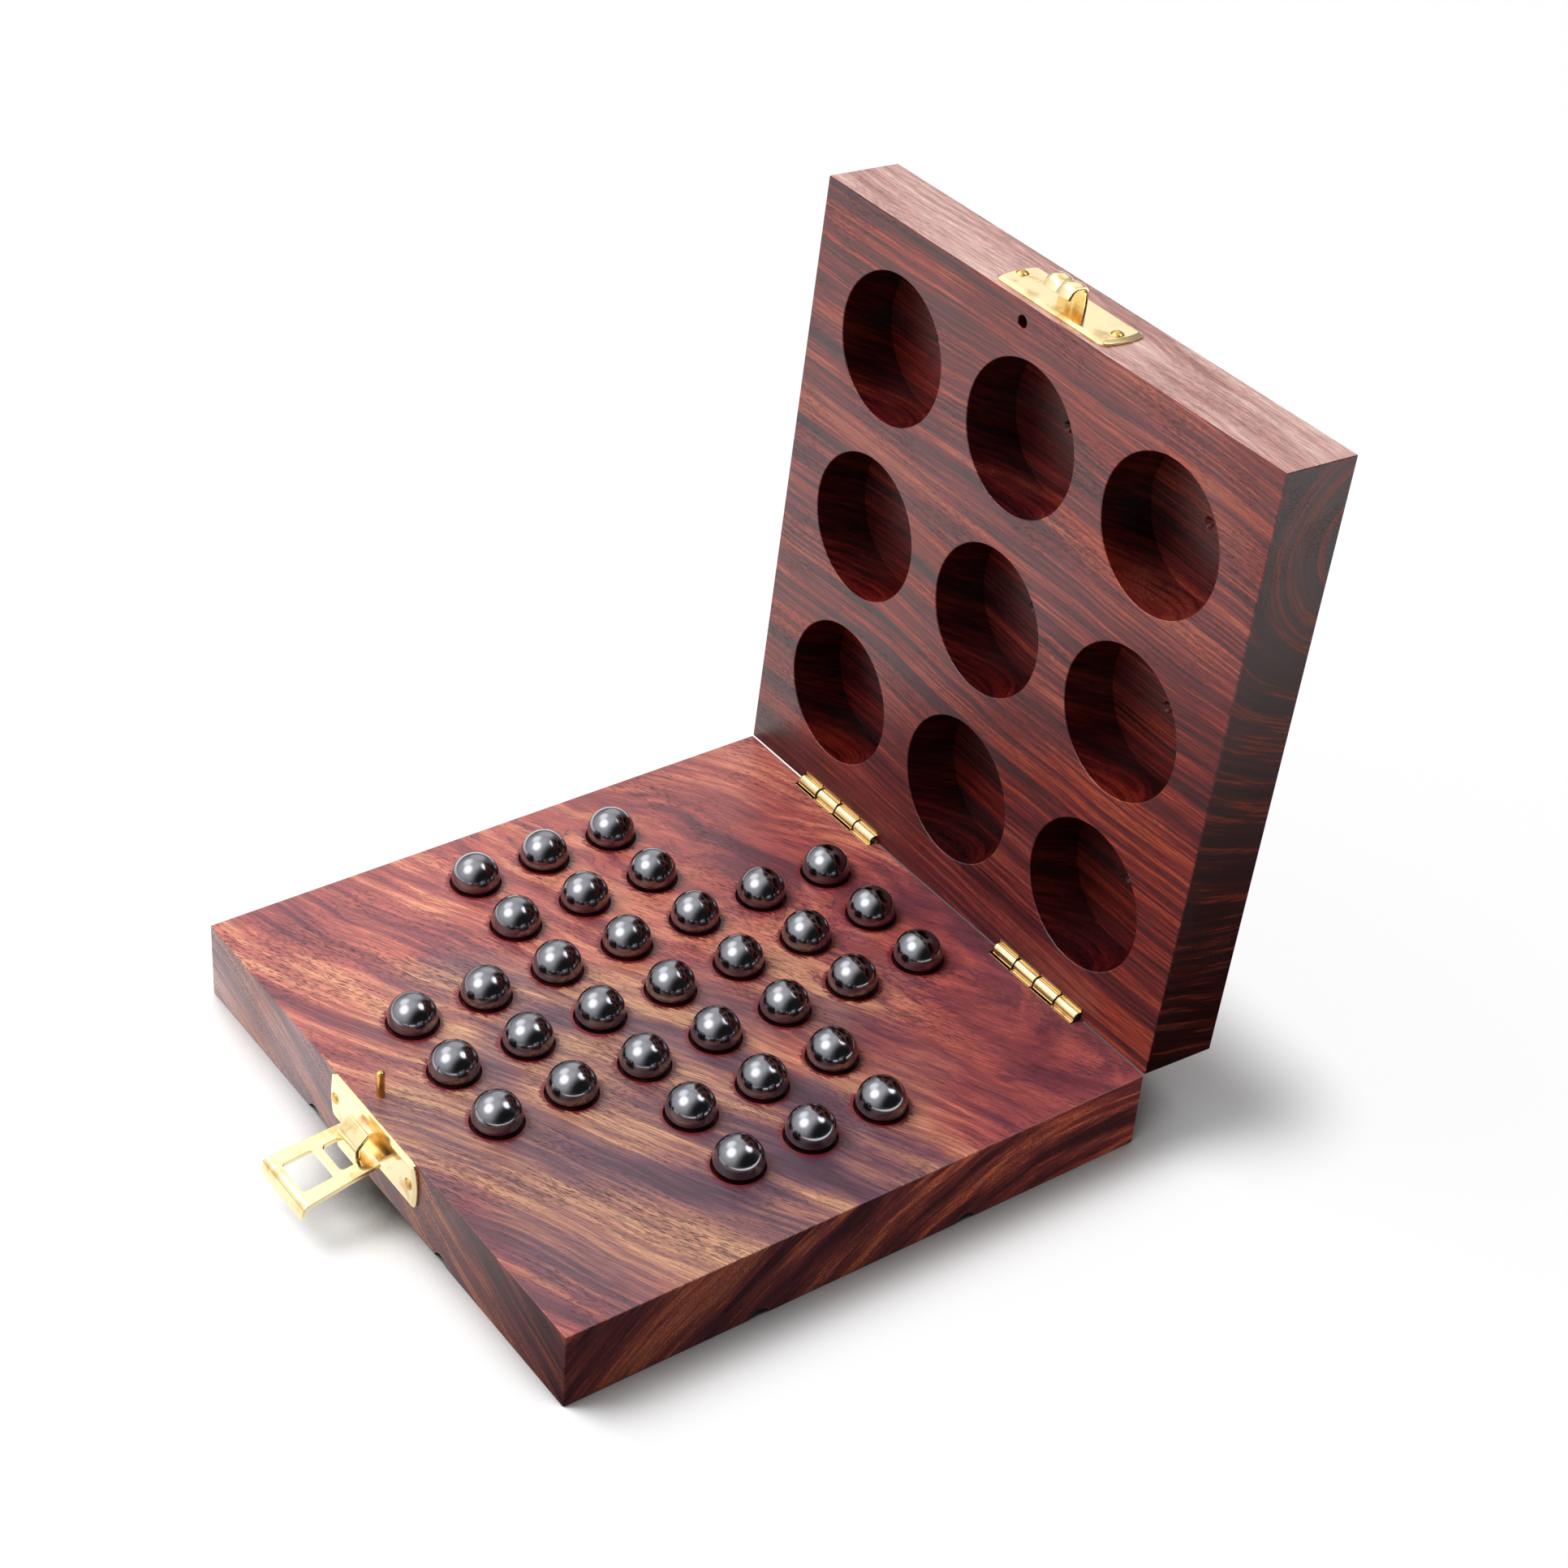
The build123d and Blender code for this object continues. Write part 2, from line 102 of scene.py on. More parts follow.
# Nails
NAIL_SHANK_RADIUS = 0.55 * mm
NAIL_SHANK_LENGTH = 7.0 * mm
NAIL_POINT_LENGTH = 1.4 * mm
NAIL_HEAD_RADIUS = 1.25 * mm
NAIL_HEAD_HEIGHT = 0.6 * mm

# Catch plates, lug, hook and hasp. The corners are in millimetres along a strip's middle.
PLATE_LENGTH = 31.0 * mm
PLATE_HEIGHT = 10.4 * mm
PLATE_THICKNESS = 0.9 * mm
PLATE_END_BOW = 0.8 * mm
PLATE_CORNER_RADIUS = 1.2 * mm
PLATE_BEVEL_WIDTH = 0.9 * mm
PLATE_BEVEL_DEPTH = 0.4 * mm
PLATE_NAIL_SPACING = 26.4 * mm
BASE_PLATE_MIDDLE = -5.3 * mm
LID_PLATE_MIDDLE = 6.3 * mm
SHEET = 0.9 * mm
STRAP_BEND_RADIUS = 1.5 * mm
LUG_WIDTH = 6.8 * mm
LUG_CORNERS = ((-7.5, 0.45), (-7.5, 5.5), (-2.9, 5.5), (-0.5, 3.1))
HOOK_WIDTH = 7.2 * mm
HOOK_CORNERS = ((6.95, 0.45), (6.95, 5.5), (3.6, 5.5), (2.5, 3.4))
HOOK_CREASE_DEPTH = 0.4 * mm
HOOK_RIM_DEPTH = 0.24 * mm
HASP_PIVOT = Vector((0, -5.4, 3.6)) * mm
HASP_DROOP = radians(8.0)
HASP_INNER_WIDTH = 13.2 * mm
HASP_OUTER_WIDTH = 15.4 * mm
HASP_CORNERS = ((-1.0, 0.0), (15.1, 0.0), (15.5, -3.0))
HASP_LIP_BEND_RADIUS = 1.3 * mm
HASP_CORNER_RADIUS = 1.6 * mm
WINDOW_CORNER = 0.8 * mm
LUG_WINDOW = (7.4 * mm, 1.0 * mm, 5.4 * mm)
HOOK_WINDOW = (8.2 * mm, 7.0 * mm, 13.3 * mm)


# Camera and lamp


def set_camera():
    """The camera stands where the photographer stood, a little rolled."""
    azimuth = radians(51.517)
    elevation = radians(35.716)
    roll = radians(4.953)
    target = Vector((-63.7, 73.4, 0)) * mm
    distance = 673.0 * mm
    back = Vector(
        (sin(azimuth) * cos(elevation), -cos(azimuth) * cos(elevation), sin(elevation))
    )
    level = Vector((cos(azimuth), sin(azimuth), 0))
    upright = back.cross(level)
    right = level * cos(roll) + upright * sin(roll)
    up = upright * cos(roll) - level * sin(roll)
    data = bpy.data.cameras.new("camera")
    data.sensor_width = 36.0
    data.lens = 71.27
    data.clip_start = 0.01
    camera = bpy.data.objects.new("camera", data)
    bpy.context.scene.collection.objects.link(camera)
    turn = Matrix((right, up, back)).transposed().to_4x4()
    camera.matrix_world = Matrix.Translation(target + back * distance) @ turn
    bpy.context.scene.camera = camera


def set_softbox():
    """The lamp that lights the pieces; what shiny pieces mirror is drawn in the world."""
    data = bpy.data.lights.new("softbox", "AREA")
    data.shape = "SQUARE"
    data.size = 1.0
    data.energy = 31.0
    place = Vector((-0.75, -0.75, 1.5))
    aim = Vector((0, 0, 0.03))
    light = bpy.data.objects.new("softbox", data)
    light.location = place
    light.rotation_euler = (aim - place).to_track_quat("-Z", "Y").to_euler()
    light.visible_glossy = False
    bpy.context.scene.collection.objects.link(light)


# Node helpers

NO_TURN = (0.0, 0.0, 0.0)


def linear(value):
    """An sRGB value from 0 to 255 as the linear value that a shader takes."""
    value = value / 255
    return value / 12.92 if value <= 0.04045 else ((value + 0.055) / 1.055) ** 2.4


def tone(colour):
    return (*[linear(channel) for channel in colour], 1.0)


def add_node(tree, kind, inputs=None, **settings):
    """Adds a shader node; an input given as a socket is linked, any other is set."""
    made = tree.nodes.new(kind)
    for key, value in settings.items():
        setattr(made, key, value)
    for key, value in (inputs or {}).items():
        if isinstance(value, bpy.types.NodeSocket):
            tree.links.new(value, made.inputs[key])
        else:
            made.inputs[key].default_value = value
    return made


def new_material(name):
    material = bpy.data.materials.new(name)
    material.use_nodes = True
    tree = material.node_tree
    tree.nodes.clear()
    output = tree.nodes.new("ShaderNodeOutputMaterial")
    surface = tree.nodes.new("ShaderNodeBsdfPrincipled")
    tree.links.new(surface.outputs["BSDF"], output.inputs["Surface"])
    return material, tree, surface


def number(tree, operation, first, second=0.5, third=0.5):
    made = add_node(
        tree, "ShaderNodeMath", {0: first, 1: second, 2: third}, operation=operation
    )
    return made.outputs[0]


def vector(tree, operation, first, second=(0.0, 0.0, 0.0)):
    made = add_node(tree, "ShaderNodeVectorMath", {0: first, 1: second}, operation=operation)
    scalar = operation in ("DOT_PRODUCT", "LENGTH")
    return made.outputs["Value"] if scalar else made.outputs["Vector"]


def combined(tree, x, y, z):
    return add_node(tree, "ShaderNodeCombineXYZ", {0: x, 1: y, 2: z}).outputs[0]


def between(tree, value, low, high, to_low=0.0, to_high=1.0):
    """Passes smoothly from one number to another while a value passes two limits."""
    made = add_node(
        tree,
        "ShaderNodeMapRange",
        {"Value": value, "From Min": low, "From Max": high, "To Min": to_low, "To Max": to_high},
        interpolation_type="SMOOTHSTEP",
    )
    return made.outputs[0]


def blend(tree, factor, first, second):
    made = tree.nodes.new("ShaderNodeMix")
    made.data_type = "RGBA"
    for key, value in ((0, factor), (6, first), (7, second)):
        if isinstance(value, bpy.types.NodeSocket):
            tree.links.new(value, made.inputs[key])
        else:
            made.inputs[key].default_value = value
    return made.outputs[2]


def ramp(tree, factor, stops):
    """A colour ramp of places and sRGB colours."""
    made = add_node(tree, "ShaderNodeValToRGB", {0: factor})
    elements = made.color_ramp.elements
    while len(elements) > 1:
        elements.remove(elements[-1])
    for index, (place, colour) in enumerate(stops):
        element = elements[0] if index == 0 else elements.new(place)
        element.position = place
        element.color = tone(colour)
    return made.outputs["Color"]


def millimetres(tree):
    place = add_node(tree, "ShaderNodeTexCoord").outputs["Object"]
    return vector(tree, "MULTIPLY", place, (1000.0, 1000.0, 1000.0))


def grain_space(tree, place, turn, reach, middle=(0.0, 0.0, 0.0)):
    """Turns a place into the grain's own axes and divides it by a reach along each."""
    made = add_node(
        tree,
        "ShaderNodeMapping",
        {"Vector": place, "Location": middle, "Rotation": turn, "Scale": reach},
        vector_type="TEXTURE",
    )
    return made.outputs[0]


def noise(tree, place, detail=2.0, roughness=0.5, output="Fac"):
    made = add_node(
        tree,
        "ShaderNodeTexNoise",
        {"Vector": place, "Scale": 1.0, "Detail": detail, "Roughness": roughness},
    )
    return made.outputs[output]


def clouds(tree, place, size, detail=2.0, roughness=0.5, output="Fac"):
    """Noise of an even size in millimetres."""
    return noise(
        tree, grain_space(tree, place, NO_TURN, (size, size, size)), detail, roughness, output
    )


def drifted(tree, place, size, reach, seed):
    """Pushes a place about by soft noise, so that figure drawn there flows."""
    cloud = clouds(tree, vector(tree, "ADD", place, (seed, seed, seed)), size, 1.5, 0.5, "Color")
    push = vector(tree, "SUBTRACT", cloud, (0.5, 0.5, 0.5))
    return vector(tree, "ADD", place, vector(tree, "MULTIPLY", push, (reach, reach, reach)))


# Woods. Their places and reaches are in millimetres.

# Lengths of the fibres and pores along the grain and across it
FIBRE_REACH = (5.0, 0.24, 0.24)
PORE_REACH = (2.1, 0.27, 0.27)
TEAR_REACH = (2.0, 0.5, 0.5)

PORE = (46, 18, 20)
TORN = (104, 16, 24)
INK = (86, 40, 62)


def torn_rims(tree, place, grain, colour):
    """Reddens the torn fibres round the ball holes."""
    pitch = BALL_PITCH / mm
    middle = tuple(BALL_GRID_MIDDLE / mm)
    grid = grain_space(tree, place, (0.0, 0.0, BALL_GRID_TURN), (pitch, pitch, pitch), middle)
    grid = add_node(tree, "ShaderNodeSeparateXYZ", {0: grid})
    column = number(tree, "ROUND", grid.outputs[0])
    row = number(tree, "ROUND", grid.outputs[1])
    off_column = number(tree, "SUBTRACT", grid.outputs[0], column)
    off_row = number(tree, "SUBTRACT", grid.outputs[1], row)
    far = vector(tree, "LENGTH", combined(tree, off_column, off_row, 0))
    far = number(tree, "MULTIPLY", far, pitch)
    tear = noise(tree, grain_space(tree, place, grain, TEAR_REACH), 3.0)
    torn = between(tree, number(tree, "MULTIPLY_ADD", tear, -3.6, far), 4.3, 3.7)
    column = number(tree, "ABSOLUTE", column)
    row = number(tree, "ABSOLUTE", row)
    arms = number(tree, "LESS_THAN", number(tree, "MINIMUM", column, row), 1.5)
    ends = number(tree, "LESS_THAN", number(tree, "MAXIMUM", column, row), 3.5)
    torn = number(tree, "MULTIPLY", torn, number(tree, "MULTIPLY", arms, ends))
    return blend(tree, torn, colour, tone(TORN))


def rosewood(
    name,
    turn,
    pore_turn,
    heart,
    swirls,
    ring_reach,
    line_reach,
    figure,
    second_figure,
    band_share=1.0,
    line_share=0.4,
    marks=(),
    second_place=None,
    wash=None,
    ink=0.0,
    pores=0.8,
    roughness=0.42,
    specular=0.75,
    shade=(1.0, 1.0, 1.0),
    holes=False,
):
    """Waxed rosewood. Its growth rings lie about a heart line along the grain.

    Swirls are pairs of a size and a reach by which the whole figure drifts. Broad bands
    and fine lines are read off the rings and coloured by a figure, or by the second one
    round its own place. Marks lighten or darken the bands round a spot or a ring, and ink
    draws dark threads. Painted light multiplies the colour round a place, lighter or darker
    there as if light or shade fell on it.
    """
    material, tree, surface = new_material(name)
    place = millimetres(tree)
    flowing = place
    for index, (size, reach) in enumerate(swirls):
        flowing = drifted(tree, flowing, size, reach, 150.0 * index)

    def rings(reach, detail, rough):
        """Noise over the length of the grain, the depth from the heart and the way round it."""
        axes = grain_space(tree, flowing, turn, (1.0, 1.0, 1.0), heart)
        axes = add_node(tree, "ShaderNodeSeparateXYZ", {0: axes})
        depth = vector(tree, "LENGTH", combined(tree, 0.0, axes.outputs[1], axes.outputs[2]))
        drawn = combined(tree, axes.outputs[0], depth, axes.outputs[1])
        return noise(tree, grain_space(tree, drawn, NO_TURN, reach), detail, rough)

    bands = rings(ring_reach, 3.0, 0.55)
    lines = rings(line_reach, 4.0, 0.65)
    for middle, reach, weight, ring in marks:
        far = vector(tree, "LENGTH", grain_space(tree, flowing, turn, reach, middle))
        if ring:
            far = number(tree, "ABSOLUTE", number(tree, "SUBTRACT", far, 1.0))
            far = number(tree, "DIVIDE", far, ring)
        near = between(tree, far, 1.0, 0.1)
        bands = number(tree, "MULTIPLY_ADD", near, weight, bands)
    middle_share = 0.5 - 0.5 * band_share - 0.5 * line_share
    drawn = number(tree, "MULTIPLY_ADD", bands, band_share, middle_share)
    drawn = number(tree, "MULTIPLY_ADD", lines, line_share, drawn)

    cloud = clouds(tree, flowing, 38.0)
    hue = between(tree, cloud, 0.43, 0.57)
    if second_place:
        middle, reach = second_place
        far = vector(tree, "LENGTH", grain_space(tree, flowing, turn, reach, middle))
        hue = between(tree, number(tree, "MULTIPLY_ADD", cloud, -2.0, far), 0.4, -0.3)
    colour = blend(tree, hue, ramp(tree, drawn, figure), ramp(tree, drawn, second_figure))
    if ink:
        thread = number(tree, "ABSOLUTE", number(tree, "SUBTRACT", lines, 0.47))
        thread = between(tree, thread, 0.03, 0.0)
        crowd = between(tree, clouds(tree, flowing, 24.0), 0.4, 0.6)
        thread = number(tree, "MULTIPLY", thread, number(tree, "MULTIPLY", crowd, ink))
        colour = blend(tree, thread, colour, tone(INK))

    fibres = noise(tree, grain_space(tree, place, pore_turn, FIBRE_REACH), 3.0, 0.6)
    tint = between(tree, fibres, 0.3, 0.7, 0.62, 1.38)
    colour = vector(tree, "MULTIPLY", colour, combined(tree, tint, tint, tint))

    pore_place = drifted(tree, place, 9.0, 1.6, 40.0)
    pore_place = grain_space(tree, pore_place, pore_turn, PORE_REACH)
    cells = add_node(tree, "ShaderNodeTexVoronoi", {"Vector": pore_place, "Scale": 1.0})
    crowd = noise(tree, grain_space(tree, flowing, turn, (22.0, 10.0, 10.0)))
    limit = between(tree, crowd, 0.35, 0.65, 0.14, 0.4)
    inside = number(tree, "SUBTRACT", limit, cells.outputs["Distance"])
    dash = between(tree, inside, -0.03, 0.08)
    colour = blend(tree, number(tree, "MULTIPLY", dash, pores), colour, tone(PORE))
    colour = vector(tree, "MULTIPLY", colour, shade)
    if holes:
        colour = torn_rims(tree, place, pore_turn, colour)
    # Painted light: the colour is multiplied round a place, lighter or darker where light or
    # shade fell.
    if wash:
        middle, reach, change = wash
        far = vector(tree, "LENGTH", grain_space(tree, place, NO_TURN, reach, middle))
        washed = vector(tree, "MULTIPLY", colour, change)
        colour = blend(tree, between(tree, far, 1.0, 0.2), colour, washed)

    tree.links.new(colour, surface.inputs["Base Color"])
    surface.inputs["Specular IOR Level"].default_value = specular
    gloss = number(tree, "MULTIPLY_ADD", fibres, 0.2, roughness - 0.1)
    gloss = number(tree, "MULTIPLY_ADD", dash, 0.2, gloss)
    tree.links.new(gloss, surface.inputs["Roughness"])
    relief = number(tree, "MULTIPLY_ADD", dash, -0.8, fibres)
    bump = add_node(
        tree, "ShaderNodeBump", {"Strength": 0.35, "Distance": 0.06 * mm, "Height": relief}
    )
    tree.links.new(bump.outputs["Normal"], surface.inputs["Normal"])
    return material


# Figures, from the dark of a ring to the light
PINK_FIGURE = (
    (0.26, (60, 24, 36)),
    (0.38, (100, 42, 52)),
    (0.46, (134, 60, 62)),
    (0.54, (162, 78, 72)),
    (0.64, (196, 118, 94)),
    (0.76, (140, 60, 60)),
)
TAN_FIGURE = (
    (0.26, (64, 36, 52)),
    (0.38, (98, 62, 74)),
    (0.46, (130, 84, 82)),
    (0.54, (158, 106, 90)),
    (0.64, (194, 144, 112)),
    (0.76, (134, 80, 76)),
)
BASE_END_FIGURE = (
    (0.34, (52, 20, 24)),
    (0.46, (96, 42, 38)),
    (0.54, (126, 60, 44)),
    (0.62, (170, 96, 60)),
    (0.72, (112, 50, 40)),
)
# The base's front side: pale grey-violet, a painted sheen.
SHEEN_GREY_FIGURE = (
    (0.34, (98, 62, 72)),
    (0.46, (138, 98, 104)),
    (0.54, (166, 124, 126)),
    (0.62, (190, 150, 146)),
    (0.72, (136, 92, 98)),
)
DARK_RED_FIGURE = (
    (0.32, (30, 7, 9)),
    (0.41, (58, 13, 16)),
    (0.48, (92, 25, 26)),
    (0.55, (124, 42, 34)),
    (0.64, (170, 76, 46)),
    (0.72, (106, 32, 30)),
)
PLUM_FIGURE = (
    (0.32, (38, 11, 17)),
    (0.41, (66, 20, 27)),
    (0.48, (98, 34, 38)),
    (0.55, (126, 52, 48)),
    (0.64, (168, 92, 68)),
    (0.72, (110, 42, 42)),
)
LID_END_FIGURE = (
    (0.44, (52, 16, 16)),
    (0.55, (80, 26, 24)),
    (0.62, (146, 66, 36)),
    (0.66, (76, 26, 22)),
)
# The lid's free edge: its paleness is a painted sheen.
PALE_SHEEN_FIGURE = (
    (0.30, (140, 90, 86)),
    (0.42, (172, 122, 114)),
    (0.52, (196, 152, 144)),
    (0.64, (214, 180, 168)),
    (0.74, (184, 136, 126)),
)


def base_rosewood(name, **changes):
    """The base board's wood, its figure running slantwise over the top."""
    settings = dict(
        turn=(0.0, 0.0, radians(26.0)),
        pore_turn=(0.0, 0.0, radians(27.0)),
        heart=(0.0, 40.0, -90.0),
        swirls=((95.0, 16.0), (24.0, 2.6)),
        ring_reach=(80.0, 5.6, 44.0),
        line_reach=(40.0, 0.8, 8.0),
        figure=PINK_FIGURE,
        second_figure=TAN_FIGURE,
        line_share=0.6,
        marks=(
            ((28.0, -27.0, 16.0), (15.0, 9.0, 16.0), 0.10, None),
            ((22.0, -20.0, 16.0), (30.0, 21.0, 40.0), -0.16, 0.32),
            ((-40.0, 34.0, 16.0), (26.0, 9.0, 20.0), -0.08, None),
            ((44.0, 50.0, 16.0), (26.0, 9.0, 20.0), -0.10, None),
            ((-12.0, -3.0, 16.0), (26.0, 14.0, 20.0), 0.05, None),
        ),
        second_place=((24.0, -22.0, 16.0), (52.0, 40.0, 60.0)),
        # Painted sheen: the top is lighter and pinker towards its left front.
        wash=((-63.0, -50.0, 16.0), (85.0, 85.0, 85.0), (1.4, 1.8, 1.7)),
        band_share=0.85,
        ink=0.8,
    )
    settings.update(changes)
    return rosewood(name, **settings)


def lid_rosewood(name, **changes):
    """The lid board's darker wood, nearly straight in its grain."""
    settings = dict(
        turn=(0.0, radians(1.5), 0.0),
        pore_turn=(0.0, radians(1.5), 0.0),
        heart=(0.0, 190.0, 330.0),
        swirls=((80.0, 8.0), (14.0, 1.0)),
        ring_reach=(90.0, 3.6, 30.0),
        line_reach=(42.0, 0.6, 9.0),
        figure=DARK_RED_FIGURE,
        second_figure=PLUM_FIGURE,
        band_share=0.6,
        line_share=0.7,
        pores=0.5,
        roughness=0.38,
        specular=0.5,
        # Painted shade: the lid's face is darker towards the hinges.
        wash=((-10.0, 62.0, 14.0), (110.0, 60.0, 84.0), (0.64, 0.4, 0.46)),
    )
    settings.update(changes)
    return rosewood(name, **settings)


# Metals

# Painted shade in the seams between knuckles
KNUCKLE_SEAM_SHADE = (66, 42, 22)


def brass(name, bright, dull, roughness, knuckles=False):
    """Polished sheet brass, a little tarnished in clouds, with painted shade between knuckles.
    """
    material, tree, surface = new_material(name)
    cloud = clouds(tree, millimetres(tree), 5.0, 3.0, 0.6)
    colour = blend(tree, between(tree, cloud, 0.5, 0.75), tone(bright), tone(dull))
    # Painted shade: a dark band each side of the seams between knuckles.
    if knuckles:
        place = drifted(tree, millimetres(tree), 2.2, 1.2, 20.0)
        across = add_node(tree, "ShaderNodeSeparateXYZ", {0: place}).outputs[0]
        across = number(tree, "ABSOLUTE", across)
        across = number(tree, "SUBTRACT", across, HINGE_CENTRE_X / mm)
        off_seam = number(tree, "PINGPONG", across, HINGE_LENGTH / KNUCKLES / 2 / mm)
        colour = blend(tree, between(tree, off_seam, 0.34, 0.12), colour, tone(KNUCKLE_SEAM_SHADE))
    tree.links.new(colour, surface.inputs["Base Color"])
    surface.inputs["Metallic"].default_value = 1.0
    gloss = number(tree, "MULTIPLY_ADD", cloud, 0.14, roughness - 0.07)
    tree.links.new(gloss, surface.inputs["Roughness"])
    return material


def polished_steel():
    """Bearing steel with a very slight haze."""
    material, tree, surface = new_material("polished_steel")
    haze = clouds(tree, millimetres(tree), 3.0, 3.0, 0.6)
    colour = blend(tree, haze, tone((136, 136, 142)), tone((124, 124, 130)))
    tree.links.new(colour, surface.inputs["Base Color"])
    surface.inputs["Metallic"].default_value = 1.0
    gloss = number(tree, "MULTIPLY_ADD", haze, 0.08, 0.1)
    tree.links.new(gloss, surface.inputs["Roughness"])
    return material


# Frames in which the pieces are modelled, as in the construction


def frame_at(origin, x_axis, z_axis):
    y_axis = z_axis.cross(x_axis)
    turn = Matrix((x_axis, y_axis, z_axis)).transposed().to_4x4()
    return Matrix.Translation(origin) @ turn


X = Vector((1, 0, 0))
Y = Vector((0, 1, 0))
hinge_axis = Vector((0, BOARD_SIDE / 2 + HINGE_AXIS_BEHIND, BOARD_THICKNESS + CLOSED_GAP / 2))
lid_along = Vector((0, -cos(LID_OPEN_ANGLE), sin(LID_OPEN_ANGLE)))
lid_normal = Vector((0, -sin(LID_OPEN_ANGLE), -cos(LID_OPEN_ANGLE)))
lid_corner = hinge_axis + lid_along * HINGE_AXIS_BEHIND - lid_normal * CLOSED_GAP / 2
LID_FACE = frame_at(lid_corner, X, lid_normal)
BASE_TOP = Matrix.Translation((0, 0, BOARD_THICKNESS))
BASE_CATCH = frame_at(Vector((0, -BOARD_SIDE / 2, BOARD_THICKNESS)), X, -Y)
LID_CATCH = frame_at(lid_corner + lid_along * BOARD_SIDE, X, lid_along)
HASP = frame_at(BASE_CATCH @ HASP_PIVOT, -X, Vector((0, -sin(HASP_DROOP), cos(HASP_DROOP))))


def leaf_frame(board, x):
    origin = hinge_axis + X * x
    if board == "base":
        return frame_at(origin, X, Y)
    return frame_at(origin, -X, -lid_along)


# Modelling helpers


def deselect():
    bpy.ops.object.select_all(action="DESELECT")


def start_editing():
    bpy.ops.object.mode_set(mode="EDIT")


def stop_editing():
    bpy.ops.object.mode_set(mode="OBJECT")


def activate(piece):
    deselect()
    piece.select_set(True)
    bpy.context.view_layer.objects.active = piece


def settle(name):
    """Names the active primitive and puts its place and size in its mesh."""
    piece = bpy.context.object
    bpy.ops.object.transform_apply(location=True, rotation=True, scale=True)
    piece.name = name
    piece.data.name = name
    return piece


def block(name, low, high):
    """A rectangular block between two corners."""
    deselect()
    low, high = Vector(low), Vector(high)
    bpy.ops.mesh.primitive_cube_add(size=1, location=(low + high) / 2)
    bpy.context.object.scale = high - low
    return settle(name)


def disc(name, radius, height, vertices):
    """A filled circle, facing up, as the start of a turned piece."""
    deselect()
    bpy.ops.mesh.primitive_circle_add(
        vertices=vertices, radius=radius, fill_type="NGON", location=(0, 0, height)
    )
    return settle(name)


def draw_out(x, y, z, size=1.0):
    """Extrudes the selected faces by a distance and resizes their new end."""
    bpy.ops.mesh.extrude_region_move(TRANSFORM_OT_translate={"value": (x, y, z)})
    if size != 1.0:
        bpy.ops.transform.resize(value=(size, size, size))


def select_faces(piece, chosen):
    """Starts editing with the faces selected whose middle and normal pass a test."""
    for part in (piece.data.vertices, piece.data.edges, piece.data.polygons):
        for item in part:
            item.select = False
    for face in piece.data.polygons:
        face.select = chosen(face.center, face.normal)
    start_editing()
    bpy.ops.mesh.select_mode(type="FACE")


def select_edges(piece, chosen):
    """Starts editing with the edges selected whose two ends pass a test."""
    start_editing()
    bpy.ops.mesh.select_mode(type="EDGE")
    bpy.ops.mesh.select_all(action="DESELECT")
    stop_editing()
    for edge in piece.data.edges:
        edge.select = chosen(*[piece.data.vertices[i].co for i in edge.vertices])
    start_editing()


def bevel_edges(piece, chosen, offset, segments):
    select_edges(piece, chosen)
    bpy.ops.mesh.bevel(offset=offset, segments=segments, affect="EDGES")
    stop_editing()


def apply_modifier(piece, kind, **settings):
    activate(piece)
    modifier = piece.modifiers.new(kind.lower(), kind)
    for key, value in settings.items():
        setattr(modifier, key, value)
    bpy.ops.object.modifier_apply(modifier=modifier.name)


def soften(piece, width, segments=2, angle=35.0):
    """Rounds every edge that is sharper than an angle."""
    apply_modifier(
        piece,
        "BEVEL",
        width=width,
        segments=segments,
        limit_method="ANGLE",
        angle_limit=radians(angle),
        use_clamp_overlap=True,
    )


def cut(piece, cutter):
    apply_modifier(piece, "BOOLEAN", object=cutter, operation="DIFFERENCE", solver="EXACT")
    bpy.data.objects.remove(cutter)


def copies(piece, name, places):
    """One mesh with a copy of the piece at each place; the first is used up."""
    made = []
    for place in places:
        twin = piece.copy()
        twin.data = piece.data.copy()
        twin.data.transform(place)
        bpy.context.scene.collection.objects.link(twin)
        made.append(twin)
    bpy.data.objects.remove(piece)
    return joined(name, made)


def joined(name, pieces):
    deselect()
    for piece in pieces:
        piece.select_set(True)
    bpy.context.view_layer.objects.active = pieces[0]
    if len(pieces) > 1:
        bpy.ops.object.join()
    whole = bpy.context.view_layer.objects.active
    whole.name = name
    whole.data.name = name
    return whole


def smooth(piece, angle=35.0):
    """Smooth shading that keeps broad faces flat beside their softened edges."""
    activate(piece)
    bpy.ops.object.shade_smooth_by_angle(angle=radians(angle))
    apply_modifier(piece, "WEIGHTED_NORMAL", keep_sharp=True)


def finish_piece(piece, place, material, body, slot, *nodes):
    """Puts a piece in its frame, dresses it and lets it stand for its nodes."""
    piece.data.transform(place)
    piece.data.update()
    if material is not None:
        piece.data.materials.clear()
        piece.data.materials.append(material)
    smooth(piece)
    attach(piece, body)
    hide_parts(*nodes)
    return piece


# Boards


def drill(name, radius, wall, cone, vertices):
    """What a drill takes out, with a broken rim, for a hole down from the XY plane."""
    proud = 0.5 * mm
    cutter = disc(name, radius + RIM_CHAMFER + proud, proud, vertices)
    start_editing()
    bpy.ops.mesh.select_all(action="SELECT")
    draw_out(0, 0, -proud - RIM_CHAMFER, radius / (radius + RIM_CHAMFER + proud))
    draw_out(0, 0, RIM_CHAMFER - wall)
    if cone > 0:
        draw_out(0, 0, -cone, 0.002)
    bpy.ops.mesh.select_all(action="SELECT")
    bpy.ops.mesh.normals_make_consistent(inside=False)
    stop_editing()
    return cutter


